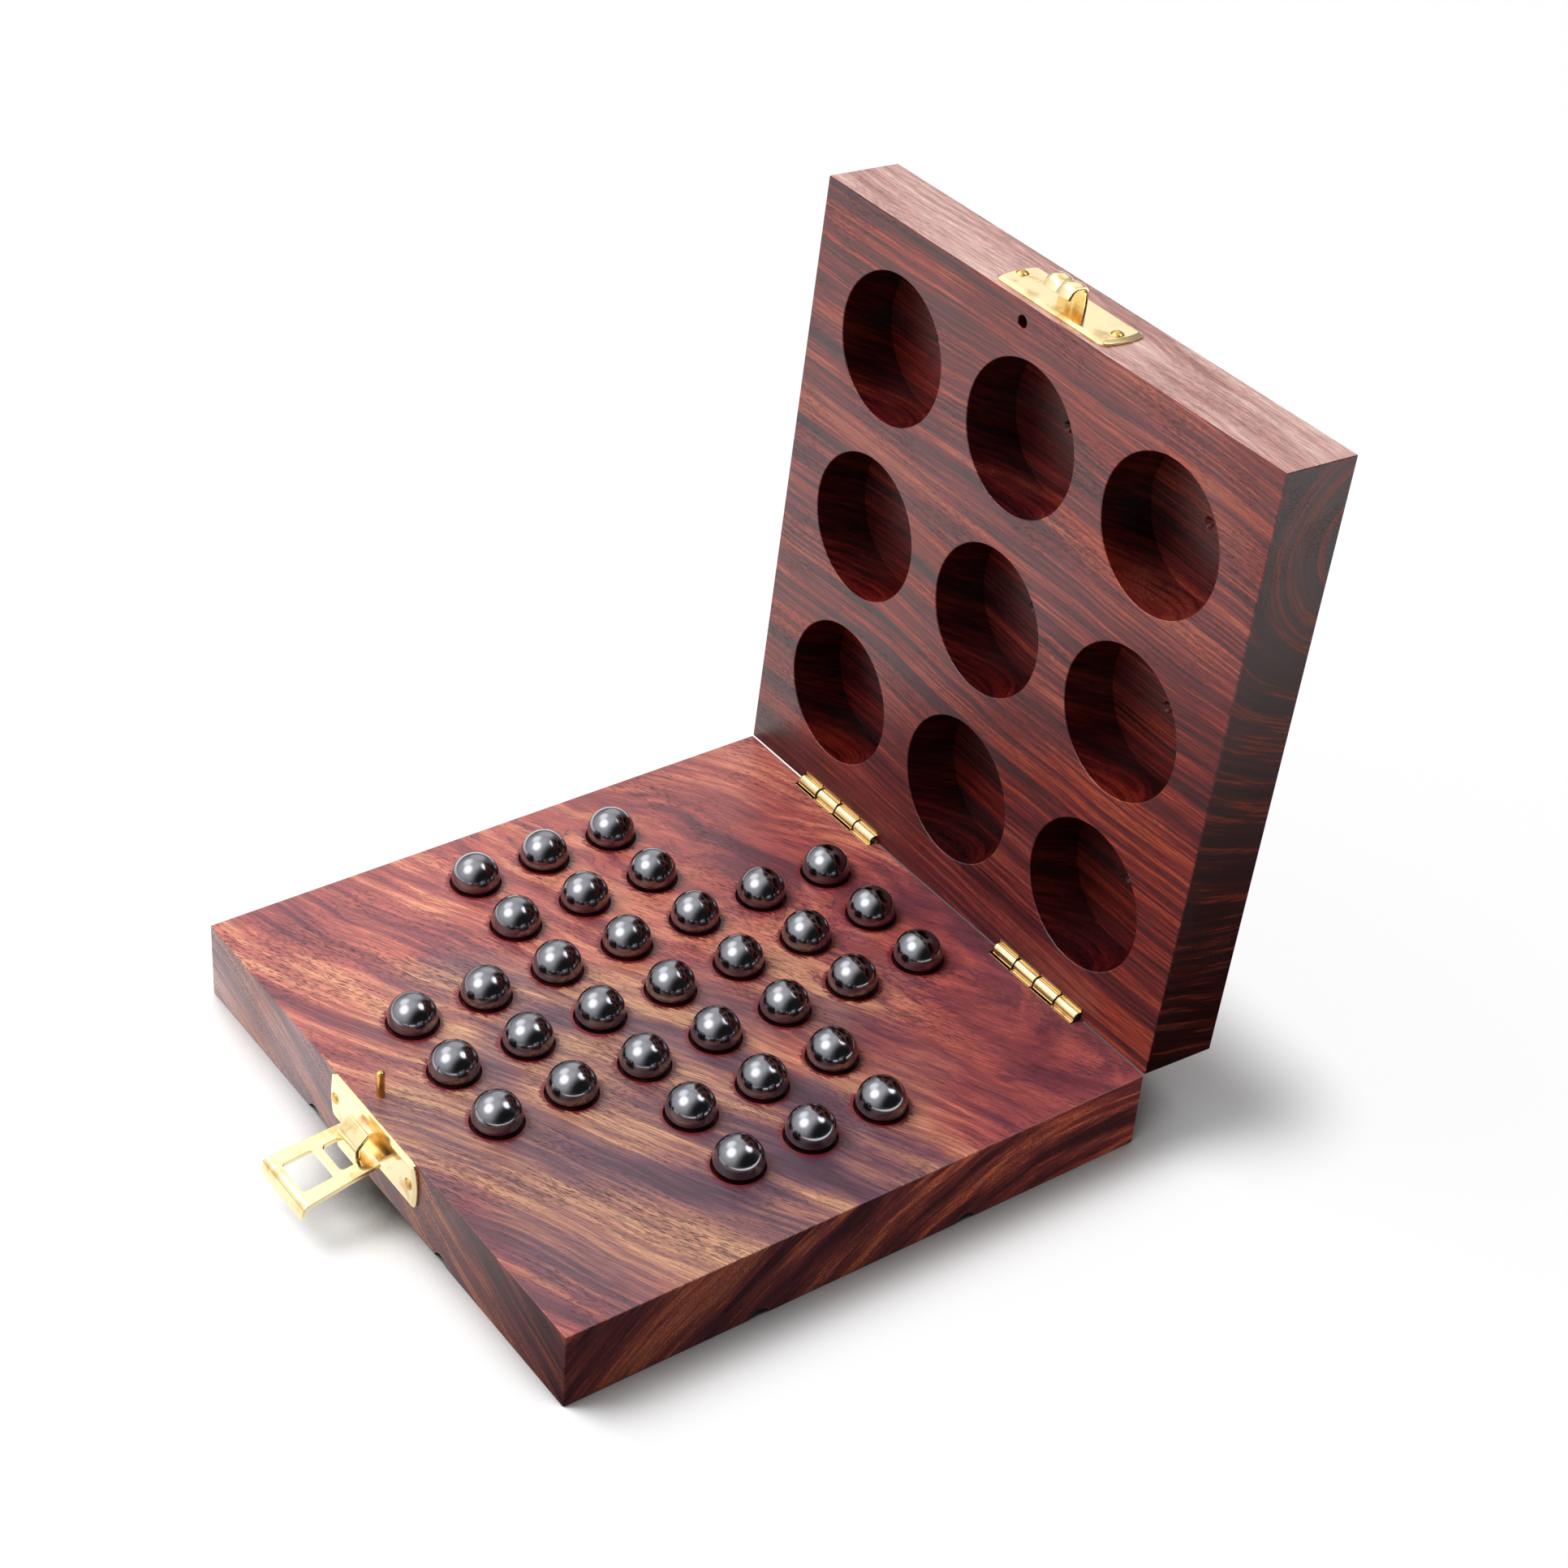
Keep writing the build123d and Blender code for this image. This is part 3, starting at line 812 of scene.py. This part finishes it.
def ball_places():
    grid = Matrix.Translation(BALL_GRID_MIDDLE) @ Matrix.Rotation(BALL_GRID_TURN, 4, "Z")
    steps = range(-3, 4)
    return [
        grid @ Vector((column * BALL_PITCH, row * BALL_PITCH, 0))
        for row in steps
        for column in steps
        if abs(row) <= 1 or abs(column) <= 1
    ]


def mortise_cutter(board):
    """The two hinge mortises of a board, in the row's frame."""
    cutters = []
    for x in (-HINGE_CENTRE_X, HINGE_CENTRE_X):
        half = HINGE_LENGTH / 2 + LEAF_FIT
        cutter = block(
            "mortise",
            (-half, -LEAF_HEIGHT, -LEAF_BACK - LEAF_THICKNESS),
            (half, LEAF_HEIGHT + LEAF_FIT, 0),
        )
        cutter.data.transform(leaf_frame(board, x))
        cutters.append(cutter)
    return joined("mortises", cutters)


def board_blank(name, hinge_side):
    """A square block, its inner face up on the XY plane and its edges broken.

    Only the inner edge at the hinges stays sharp, so that the seam is narrow.
    """
    half = BOARD_SIDE / 2
    blank = block(name, (-half, -half, -BOARD_THICKNESS), (half, half, 0))

    def broken(first, second):
        across = min(first.y * hinge_side, second.y * hinge_side) < half - 0.01 * mm
        return across or min(first.z, second.z) < -0.01 * mm

    bevel_edges(blank, broken, BOARD_EDGE_ROUND, 3)
    return blank


def dress(board, woods, chosen):
    """Gives each face of a board the wood that a test names for its middle and normal."""
    names = list(woods)
    for wood in woods.values():
        board.data.materials.append(wood)
    for face in board.data.polygons:
        face.material_index = names.index(chosen(face.center, face.normal))


def within(middle, places, radius):
    return any(Vector((middle.x - p.x, middle.y - p.y)).length < radius for p in places)


def make_base_board(woods):
    board = board_blank("base_wood", 1)
    hole = drill("ball_hole", BALL_HOLE_RADIUS, BALL_HOLE_WALL, BALL_HOLE_CONE, 64)
    cut(board, copies(hole, "ball_holes", [Matrix.Translation(p) for p in ball_places()]))
    radius = ((GROOVE_WIDTH / 2) ** 2 + GROOVE_DEPTH**2) / (2 * GROOVE_DEPTH)
    drop = Vector((0, 0, GROOVE_DEPTH - radius - BOARD_THICKNESS))
    for facets, turn, side in zip(GROOVE_FACETS, (0.0, pi / 2), (Y, X)):
        deselect()
        bpy.ops.mesh.primitive_cylinder_add(
            vertices=facets, radius=radius, depth=BOARD_SIDE * 1.2, rotation=(0, pi / 2, turn)
        )
        groove = settle("groove")
        places = [Matrix.Translation(side * s * GROOVE_SPACING / 2 + drop) for s in (-1, 1)]
        cut(board, copies(groove, "grooves", places))

    def chosen(middle, normal):
        deep = -BOARD_THICKNESS / 2 < middle.z < -RIM_CHAMFER
        if deep and within(middle, ball_places(), BALL_HOLE_RADIUS):
            return "drilled"
        if abs(normal.x) > 0.9:
            return "end"
        if abs(normal.y) > 0.9:
            return "side"
        return "face"

    dress(board, woods, chosen)
    board.data.transform(BASE_TOP)
    cut(board, mortise_cutter("base"))
    return finish_piece(board, Matrix(), None, "base", "base_wood", "base_board")


def make_lid_board(woods):
    board = board_blank("lid_wood", -1)
    pocket = drill("pocket", POCKET_RADIUS, POCKET_DEPTH, 0, 128)
    steps = [POCKET_PITCH * i for i in (-1, 0, 1)]
    centres = [Vector((x, y, 0)) for x in steps for y in steps]
    cut(board, copies(pocket, "pockets", [Matrix.Translation(c) for c in centres]))
    proud = 0.2 * mm
    mark = disc("centre_mark", CENTRE_MARK_RADIUS, 0, 24)
    start_editing()
    bpy.ops.mesh.select_all(action="SELECT")
    bpy.ops.transform.translate(value=(0, 0, proud - POCKET_DEPTH))
    draw_out(0, 0, -proud)
    draw_out(0, 0, -CENTRE_MARK_DEPTH, 0.02)
    bpy.ops.mesh.select_all(action="SELECT")
    bpy.ops.mesh.normals_make_consistent(inside=False)
    stop_editing()
    cut(board, copies(mark, "centre_marks", [Matrix.Translation(c) for c in centres]))
    pin_hole = drill("pin_hole", PIN_HOLE_RADIUS, PIN_HOLE_DEPTH, 0, 32)
    cut(board, copies(pin_hole, "pin_hole", [Matrix.Translation(PIN_HOLE_PLACE)]))

    def chosen(middle, normal):
        deep = -BOARD_THICKNESS + mm < middle.z < -RIM_CHAMFER
        if deep and within(middle, centres, POCKET_RADIUS + 0.01 * mm):
            return "pocket_wall" if abs(normal.z) < 0.5 else "pocket_floor"
        if deep and within(middle, [PIN_HOLE_PLACE], PIN_HOLE_RADIUS + 0.01 * mm):
            return "pocket_wall"
        if abs(normal.x) > 0.9:
            return "end"
        if normal.y > 0.9:
            return "free_edge"
        return "face"

    dress(board, woods, chosen)
    board.data.transform(LID_FACE @ Matrix.Translation((0, BOARD_SIDE / 2, 0)))
    cut(board, mortise_cutter("lid"))
    return finish_piece(board, Matrix(), None, "lid", "lid_wood", "lid_board")


# Balls and the locating pin


def make_balls(material):
    for name in sorted(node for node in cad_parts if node.startswith("ball_")):
        low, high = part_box(name)
        deselect()
        bpy.ops.mesh.primitive_uv_sphere_add(
            segments=64, ring_count=32, radius=BALL_RADIUS, location=(low + high) / 2
        )
        ball = settle("steel_" + name)
        finish_piece(ball, Matrix(), material, name, "steel", name)


def make_locating_pin(material):
    low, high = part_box("locating_pin")
    middle = (low + high) / 2
    radius = (high.x - low.x) / 2
    pin = disc("pin_wire", radius, low.z, 32)
    start_editing()
    bpy.ops.mesh.select_all(action="SELECT")
    draw_out(0, 0, high.z - low.z - LOCATING_PIN_ROUND)
    size = radius
    steps = 4
    for step in range(1, steps + 1):
        angle = step * pi / 2 / steps
        wanted = radius - LOCATING_PIN_ROUND * (1 - cos(angle))
        rise = LOCATING_PIN_ROUND * (sin(angle) - sin(angle - pi / 2 / steps))
        draw_out(0, 0, rise, wanted / size)
        size = wanted
    bpy.ops.mesh.select_all(action="SELECT")
    bpy.ops.mesh.normals_make_consistent(inside=False)
    stop_editing()
    place = Matrix.Translation((middle.x, middle.y, 0))
    finish_piece(pin, place, material, "base", "brass", "locating_pin")


# Nails


def nail():
    """A round-headed nail, its head's flat side on the XY plane."""
    tip = 0.02
    made = disc("nail", NAIL_SHANK_RADIUS * tip, -NAIL_SHANK_LENGTH, 32)
    start_editing()
    bpy.ops.mesh.select_all(action="SELECT")
    draw_out(0, 0, NAIL_POINT_LENGTH, 1 / tip)
    draw_out(0, 0, NAIL_SHANK_LENGTH - NAIL_POINT_LENGTH)
    draw_out(0, 0, 0, NAIL_HEAD_RADIUS / NAIL_SHANK_RADIUS)
    dome = (NAIL_HEAD_RADIUS**2 + NAIL_HEAD_HEIGHT**2) / (2 * NAIL_HEAD_HEIGHT)
    opening = acos((dome - NAIL_HEAD_HEIGHT) / dome)
    size = NAIL_HEAD_RADIUS
    height = 0.0
    steps = 6
    for step in range(1, steps + 1):
        angle = opening * (1 - step / (steps + 0.1))
        wanted = dome * sin(angle)
        rise = dome * cos(angle) - (dome - NAIL_HEAD_HEIGHT) - height
        draw_out(0, 0, rise, wanted / size)
        size = wanted
        height += rise
    bpy.ops.mesh.select_all(action="SELECT")
    bpy.ops.mesh.normals_make_consistent(inside=False)
    stop_editing()
    return made


def make_nails(name, place, points, material, body, node):
    made = copies(nail(), name, [Matrix.Translation(point) for point in points])
    finish_piece(made, place, material, body, "brass", node)


# Hinges


def knuckle(middle):
    """A rolled knuckle on the hinge axis, with the fold that joins it to its leaf."""
    length = HINGE_LENGTH / KNUCKLES - KNUCKLE_END_GAP
    deselect()
    bpy.ops.mesh.primitive_cylinder_add(
        vertices=64, radius=KNUCKLE_RADIUS, depth=length, rotation=(0, pi / 2, 0)
    )
    roll = settle("roll")
    select_faces(roll, lambda centre, normal: abs(normal.x) > 0.9)
    bpy.ops.mesh.inset(thickness=KNUCKLE_RADIUS - HINGE_BORE_RADIUS)
    bpy.ops.mesh.extrude_region_shrink_fatten(
        TRANSFORM_OT_shrink_fatten={"value": -HINGE_BORE_DEPTH}
    )
    stop_editing()
    soften(roll, KNUCKLE_ROUND, 4)
    fold = block(
        "fold",
        (-length / 2, CLOSED_GAP / 2, -LEAF_BACK - LEAF_THICKNESS),
        (length / 2, KNUCKLE_RADIUS, -KNUCKLE_RADIUS / 2),
    )
    soften(fold, 0.12 * mm)
    whole = joined("knuckle", [roll, fold])
    whole.data.transform(Matrix.Translation((middle, 0, 0)))
    return whole


def make_leaf(side, board, x, material):
    half = HINGE_LENGTH / 2
    leaf = block(
        "leaf",
        (-half, CLOSED_GAP / 2, -LEAF_BACK - LEAF_THICKNESS),
        (half, LEAF_HEIGHT, -LEAF_BACK),
    )

    def outer_corner(first, second):
        upright = abs(first.z - second.z) > LEAF_THICKNESS / 2
        return upright and min(first.y, second.y) > LEAF_HEIGHT / 2

    bevel_edges(leaf, outer_corner, LEAF_CORNER_RADIUS, 6)
    soften(leaf, 0.1 * mm)
    pitch = HINGE_LENGTH / KNUCKLES
    knuckles = [knuckle((i - (KNUCKLES - 1) / 2) * pitch) for i in (0, 2)]
    leaf = joined(f"{side}_{board}_hinge_leaf", [leaf, *knuckles])
    finish_piece(
        leaf, leaf_frame(board, x), material, board, "brass", f"{side}_hinge_{board}_leaf"
    )


def make_hinge(side, x, metal, nail_metal):
    deselect()
    bpy.ops.mesh.primitive_cylinder_add(
        vertices=32,
        radius=HINGE_PIN_RADIUS,
        depth=HINGE_LENGTH - 2 * HINGE_PIN_INSET,
        rotation=(0, pi / 2, 0),
        location=hinge_axis + X * x,
    )
    pin = settle(f"{side}_pin_wire")
    soften(pin, 0.15 * mm)
    finish_piece(pin, Matrix(), metal, "base", "brass", f"{side}_hinge_pin")
    half = HINGE_NAIL_SPACING / 2
    points = [(s * half, HINGE_NAIL_FROM_AXIS, -LEAF_BACK) for s in (-1, 1)]
    for board in ("base", "lid"):
        make_leaf(side, board, x, metal)
        make_nails(
            f"{side}_{board}_leaf_nails",
            leaf_frame(board, x),
            points,
            nail_metal,
            board,
            f"{side}_hinge_{board}_nails",
        )


# Catch


def bent_strip(name, width, corners, radius, steps=8):
    """A strip of sheet drawn out from its end section and bent round each corner.

    The corners are in millimetres, as Y and Z, and the strip is centred on X.
    """
    points = [Vector((0, y * mm, z * mm)) for y, z in corners]
    heading = (points[1] - points[0]).normalized()
    deselect()
    bpy.ops.mesh.primitive_plane_add(size=1)
    strip = bpy.context.object
    strip.scale = (width, SHEET, 1)
    strip = settle(name)
    strip.data.transform(
        Matrix.Translation(points[0]) @ frame_at(Vector(), X, heading).to_3x3().to_4x4()
    )
    start_editing()
    bpy.ops.mesh.select_all(action="SELECT")
    done = 0.0
    for index in range(1, len(points)):
        leg = points[index] - points[index - 1]
        turn = 0.0
        if index < len(points) - 1:
            following = (points[index + 1] - points[index]).normalized()
            turn = atan2(heading.cross(following).x, heading.dot(following))
        used = radius * tan(abs(turn) / 2)
        draw_out(*(heading * (leg.length - done - used)))
        if turn:
            side = 1 if turn > 0 else -1
            inward = X.cross(heading) * side
            start = points[index] - heading * used
            bpy.ops.mesh.spin(
                steps=steps, angle=-turn, center=start + inward * radius, axis=(1, 0, 0)
            )
            heading = following
        done = used
    bpy.ops.mesh.select_all(action="SELECT")
    bpy.ops.mesh.normals_make_consistent(inside=False)
    stop_editing()
    return strip


def plate_blank(name):
    """A plate with bowed ends, rounded corners and a bevelled rim, flat on the XY plane."""
    half_length = PLATE_LENGTH / 2 - PLATE_END_BOW
    half_height = PLATE_HEIGHT / 2
    deselect()
    bpy.ops.mesh.primitive_plane_add(size=1)
    bpy.context.object.scale = (2 * half_length, 2 * half_height, 1)
    plate = settle(name)
    start_editing()
    bpy.ops.mesh.select_mode(type="VERT")
    bpy.ops.mesh.select_all(action="SELECT")
    bpy.ops.mesh.bevel(offset=PLATE_CORNER_RADIUS, segments=6, affect="VERTICES")
    stop_editing()
    ends = 2 * half_length - 0.01 * mm
    select_edges(plate, lambda first, second: abs(first.x + second.x) > ends)
    bpy.ops.mesh.subdivide(number_cuts=7)
    stop_editing()
    for vertex in plate.data.vertices:
        bow = PLATE_END_BOW * (1 - (vertex.co.y / half_height) ** 2)
        vertex.co.x *= 1 + bow / half_length
    start_editing()
    bpy.ops.mesh.select_mode(type="FACE")
    bpy.ops.mesh.select_all(action="SELECT")
    draw_out(0, 0, PLATE_THICKNESS - PLATE_BEVEL_DEPTH)
    bpy.ops.mesh.inset(thickness=PLATE_BEVEL_WIDTH, depth=PLATE_BEVEL_DEPTH)
    bpy.ops.mesh.select_all(action="SELECT")
    bpy.ops.mesh.normals_make_consistent(inside=False)
    stop_editing()
    return plate


def make_catch_plate(name, edge_frame, middle, strip, material, body, node):
    """A plate on a board's edge, with the strap that is curled from it."""
    plate = plate_blank("plate")
    soften(plate, 0.08 * mm, 2, 20.0)
    plate.data.transform(Matrix.Translation((0, middle, 0)))
    whole = joined(name, [plate, strip])
    finish_piece(whole, edge_frame, material, body, "brass", node)


def crease_hook(hook):
    """Presses a crease along the middle of the hook's outer side, leaving two round lobes."""
    start_editing()
    for share in (-0.36, -0.24, -0.12, -0.04, 0.0, 0.04, 0.12, 0.24, 0.36):
        bpy.ops.mesh.select_all(action="SELECT")
        bpy.ops.mesh.bisect(plane_co=(share * HOOK_WIDTH, 0, 0), plane_no=(1, 0, 0))
    stop_editing()
    hook.data.update()
    root_y, tip_y, tip_z = HOOK_CORNERS[1][0], HOOK_CORNERS[3][0], HOOK_CORNERS[3][1]
    centre = Vector((0, (root_y + tip_y) / 2 * mm, tip_z * mm))
    for vertex in hook.data.vertices:
        out = Vector((0, vertex.co.y, vertex.co.z)) - centre
        normal = vertex.normal
        if normal.dot(out) > 0 and abs(normal.x) < 0.9:
            share = abs(vertex.co.x) / (HOOK_WIDTH / 2)
            depth = HOOK_CREASE_DEPTH if share < 0.5 else HOOK_RIM_DEPTH
            push = depth * (2 * share - 1) ** 2
            vertex.co -= Vector((0, normal.y, normal.z)).normalized() * push


def make_catches(metal, nail_metal):
    lug = bent_strip("lug", LUG_WIDTH, LUG_CORNERS, STRAP_BEND_RADIUS)
    soften(lug, 0.2 * mm, 3)
    make_catch_plate(
        "base_catch", BASE_CATCH, BASE_PLATE_MIDDLE, lug, metal, "base", "catch_base_plate"
    )
    hook = bent_strip("hook", HOOK_WIDTH, HOOK_CORNERS, STRAP_BEND_RADIUS)
    crease_hook(hook)
    soften(hook, 0.14 * mm, 2, 50.0)
    make_catch_plate(
        "lid_catch", LID_CATCH, LID_PLATE_MIDDLE, hook, metal, "lid", "catch_lid_plate"
    )
    half = PLATE_NAIL_SPACING / 2
    for board, edge_frame, middle in (
        ("base", BASE_CATCH, BASE_PLATE_MIDDLE),
        ("lid", LID_CATCH, LID_PLATE_MIDDLE),
    ):
        points = [(s * half, middle, PLATE_THICKNESS) for s in (-1, 1)]
        make_nails(
            f"{board}_catch_nails", edge_frame, points, nail_metal, board, f"catch_{board}_nails"
        )


def window(width, start, end):
    """A cutter for a window with rounded corners, through the hasp's sheet."""
    cutter = block("window", (-width / 2, start, -2 * mm), (width / 2, end, 2 * mm))
    bevel_edges(cutter, lambda first, second: abs(first.z - second.z) > mm, WINDOW_CORNER, 6)
    return cutter


def make_hasp(metal):
    hasp = bent_strip("hasp_sheet", HASP_OUTER_WIDTH, HASP_CORNERS, HASP_LIP_BEND_RADIUS, 10)
    inner_end = HASP_CORNERS[0][0] * mm
    outer_end = HASP_CORNERS[2][0] * mm + SHEET
    for vertex in hasp.data.vertices:
        share = (vertex.co.y - inner_end) / (outer_end - inner_end)
        width = HASP_INNER_WIDTH + (HASP_OUTER_WIDTH - HASP_INNER_WIDTH) * share
        vertex.co.x *= width / HASP_OUTER_WIDTH
    lowest = min(vertex.co.z for vertex in hasp.data.vertices)

    def lip_corner(first, second):
        thin = abs((first - second).length - SHEET) < 0.03 * mm
        return thin and max(first.z, second.z) < lowest + 0.3 * mm

    bevel_edges(hasp, lip_corner, HASP_CORNER_RADIUS, 8)
    cut(hasp, window(*LUG_WINDOW))
    cut(hasp, window(*HOOK_WINDOW))
    soften(hasp, 0.12 * mm)
    finish_piece(hasp, HASP, metal, "hasp", "brass", "hasp")


# Stage

# The pieces' footprint on the floor, in millimetres
FOOTPRINT_MIDDLE = (0.0, 12.0, 0.0)
FOOTPRINT_HALF = (63.5, 75.0, 0.0)

# How bright the world is to matt surfaces, at its dark and at its open side
AMBIENT = (0.1, 0.6)
OPEN_SIDE = (-0.8, -0.3, 0.6)

# What shiny pieces mirror: an even tent, and soft round panels given by their direction,
# the angles at which each begins and has finished fading, and its brightness
TENT = 0.35
PANELS = (
    ((-0.25, -0.45, 0.86), 5, 80, 1.5),
    ((0.95, 0.20, 0.20), 30, 75, 0.03),
    ((-0.64, 0.50, 0.58), 10, 28, 1.4),
    ((-0.62, -0.19, 0.76), 4, 22, 3.2),
    ((-0.15, -0.60, 0.78), 5, 26, 5.0),
    ((0.24, 0.54, 0.80), 4, 18, 5.0),
)


def make_floor():
    """A matt white floor. It takes the shadow near the pieces, with painted shadow where they
    hem it in, and is plain white farther off.

    Shiny pieces mirror it as bright on the left and dark on the right.
    """
    deselect()
    bpy.ops.mesh.primitive_plane_add(size=6, location=(0, 0, -0.02 * mm))
    floor = settle("floor")
    material = bpy.data.materials.new("floor")
    material.use_nodes = True
    tree = material.node_tree
    tree.nodes.clear()
    output = tree.nodes.new("ShaderNodeOutputMaterial")
    path = tree.nodes.new("ShaderNodeLightPath")
    seen = path.outputs["Is Camera Ray"]
    mirrored = path.outputs["Is Glossy Ray"]
    grey = number(tree, "MULTIPLY_ADD", seen, 0.61, 0.35)
    # Painted shadow: ambient occlusion darkens the floor's own colour close beside the pieces
    # and beneath the lid.
    occlusion_shade = add_node(tree, "ShaderNodeAmbientOcclusion", {"Distance": 30.0 * mm}).outputs["AO"]
    grey = number(tree, "MULTIPLY", grey, between(tree, occlusion_shade, 0.3, 0.7, 0.1, 1.0))
    matt = add_node(tree, "ShaderNodeBsdfDiffuse", {"Color": combined(tree, grey, grey, grey)})
    place = vector(tree, "SUBTRACT", millimetres(tree), FOOTPRINT_MIDDLE)
    sideways = add_node(tree, "ShaderNodeSeparateXYZ", {0: place}).outputs[0]
    card = between(tree, sideways, -40.0, 75.0, 1.7, 0.0)
    far_card = between(tree, sideways, 160.0, 205.0, 0.0, 2.6)
    card = number(tree, "MULTIPLY", number(tree, "ADD", card, far_card), mirrored)
    glow = add_node(
        tree,
        "ShaderNodeEmission",
        {"Color": (1, 1, 1, 1), "Strength": number(tree, "ADD", card, seen)},
    )
    off = vector(tree, "SUBTRACT", vector(tree, "ABSOLUTE", place), FOOTPRINT_HALF)
    off = vector(tree, "LENGTH", vector(tree, "MAXIMUM", off, (0.0, 0.0, 0.0)))
    own_light = number(tree, "MULTIPLY", between(tree, off, 0.0, 30.0, 0.0, 0.95), seen)
    own_light = number(tree, "MAXIMUM", own_light, mirrored)
    both = add_node(
        tree, "ShaderNodeMixShader", {0: own_light, 1: matt.outputs[0], 2: glow.outputs[0]}
    )
    tree.links.new(both.outputs[0], output.inputs["Surface"])
    floor.data.materials.append(material)


def set_world():
    """White to the camera, plain to matt surfaces, a tent with panels to shiny ones."""
    world = bpy.data.worlds.new("studio")
    bpy.context.scene.world = world
    world.use_nodes = True
    tree = world.node_tree
    tree.nodes.clear()
    output = tree.nodes.new("ShaderNodeOutputWorld")
    path = tree.nodes.new("ShaderNodeLightPath")
    way = add_node(tree, "ShaderNodeTexCoord").outputs["Generated"]
    tent = TENT
    for direction, inner, outer, value in PANELS:
        aim = tuple(Vector(direction).normalized())
        facing = vector(tree, "DOT_PRODUCT", way, aim)
        share = between(tree, facing, cos(radians(outer)), cos(radians(inner)))
        change = number(tree, "SUBTRACT", value, tent)
        tent = number(tree, "MULTIPLY_ADD", share, change, tent)
    facing = vector(tree, "DOT_PRODUCT", way, tuple(Vector(OPEN_SIDE).normalized()))
    even = between(tree, facing, -0.6, 0.7, *AMBIENT)
    over = number(tree, "SUBTRACT", tent, even)
    strength = number(tree, "MULTIPLY_ADD", path.outputs["Is Glossy Ray"], over, even)
    strength = number(tree, "MAXIMUM", strength, path.outputs["Is Camera Ray"])
    sky = add_node(tree, "ShaderNodeBackground", {"Color": (1, 1, 1, 1), "Strength": strength})
    tree.links.new(sky.outputs[0], output.inputs["Surface"])


set_camera()
make_floor()
set_world()
set_softbox()
bpy.context.scene.view_settings.view_transform = "Standard"

make_base_board(
    {
        "face": base_rosewood("base_rosewood", holes=True),
        # The front side is grey at its left, a painted sheen, turning to the end-grain figure
        # towards the right end.
        "side": base_rosewood(
            "base_side",
            figure=SHEEN_GREY_FIGURE,
            second_figure=BASE_END_FIGURE,
            second_place=((63.0, -63.0, 8.0), (102.0, 600.0, 600.0)),
            wash=None,
        ),
        "end": base_rosewood(
            "base_end_grain",
            figure=BASE_END_FIGURE,
            second_figure=BASE_END_FIGURE,
            # The end grain is lightened as a whole by its shade, and painted light lightens the
            # right end further towards the hinges.
            shade=(1.7, 1.5, 1.6),
            wash=((64.0, 72.0, 8.0), (60.0, 96.0, 60.0), (2.1, 1.8, 1.7)),
        ),
        # Painted shade: the walls inside the ball holes are darker.
        "drilled": base_rosewood("base_drilled", shade=(0.5, 0.18, 0.2), roughness=0.7),
    }
)
make_lid_board(
    {
        "face": lid_rosewood("lid_rosewood"),
        # Painted sheen: the free edge is drawn in a pale figure.
        "free_edge": lid_rosewood(
            "lid_free_edge", figure=PALE_SHEEN_FIGURE, second_figure=PALE_SHEEN_FIGURE, pores=0.3
        ),
        "end": lid_rosewood(
            "lid_end_grain",
            figure=LID_END_FIGURE,
            second_figure=LID_END_FIGURE,
            heart=(0.0, 96.0, 126.0),
            swirls=((70.0, 9.0), (12.0, 1.4)),
            ring_reach=(60.0, 2.0, 30.0),
            line_reach=(60.0, 0.6, 20.0),
            band_share=0.8,
            line_share=0.45,
            specular=0.35,
            shade=(1.0, 0.8, 0.8),
        ),
        # Painted shade: the pockets' walls and floors are darker than the face.
        "pocket_wall": lid_rosewood("pocket_wall", shade=(0.4, 0.22, 0.24), specular=0.3),
        "pocket_floor": lid_rosewood("pocket_floor", shade=(0.8, 0.5, 0.42), specular=0.4),
    }
)
sheet_brass = brass("sheet_brass", (240, 218, 170), (204, 170, 112), 0.17)
hinge_brass = brass("hinge_brass", (226, 200, 150), (188, 152, 98), 0.2, knuckles=True)
nail_brass = brass("nail_brass", (212, 172, 104), (160, 120, 66), 0.26)
make_balls(polished_steel())
make_locating_pin(nail_brass)
make_hinge("left", -HINGE_CENTRE_X, hinge_brass, nail_brass)
make_hinge("right", HINGE_CENTRE_X, hinge_brass, nail_brass)
make_catches(sheet_brass, nail_brass)
make_hasp(sheet_brass)
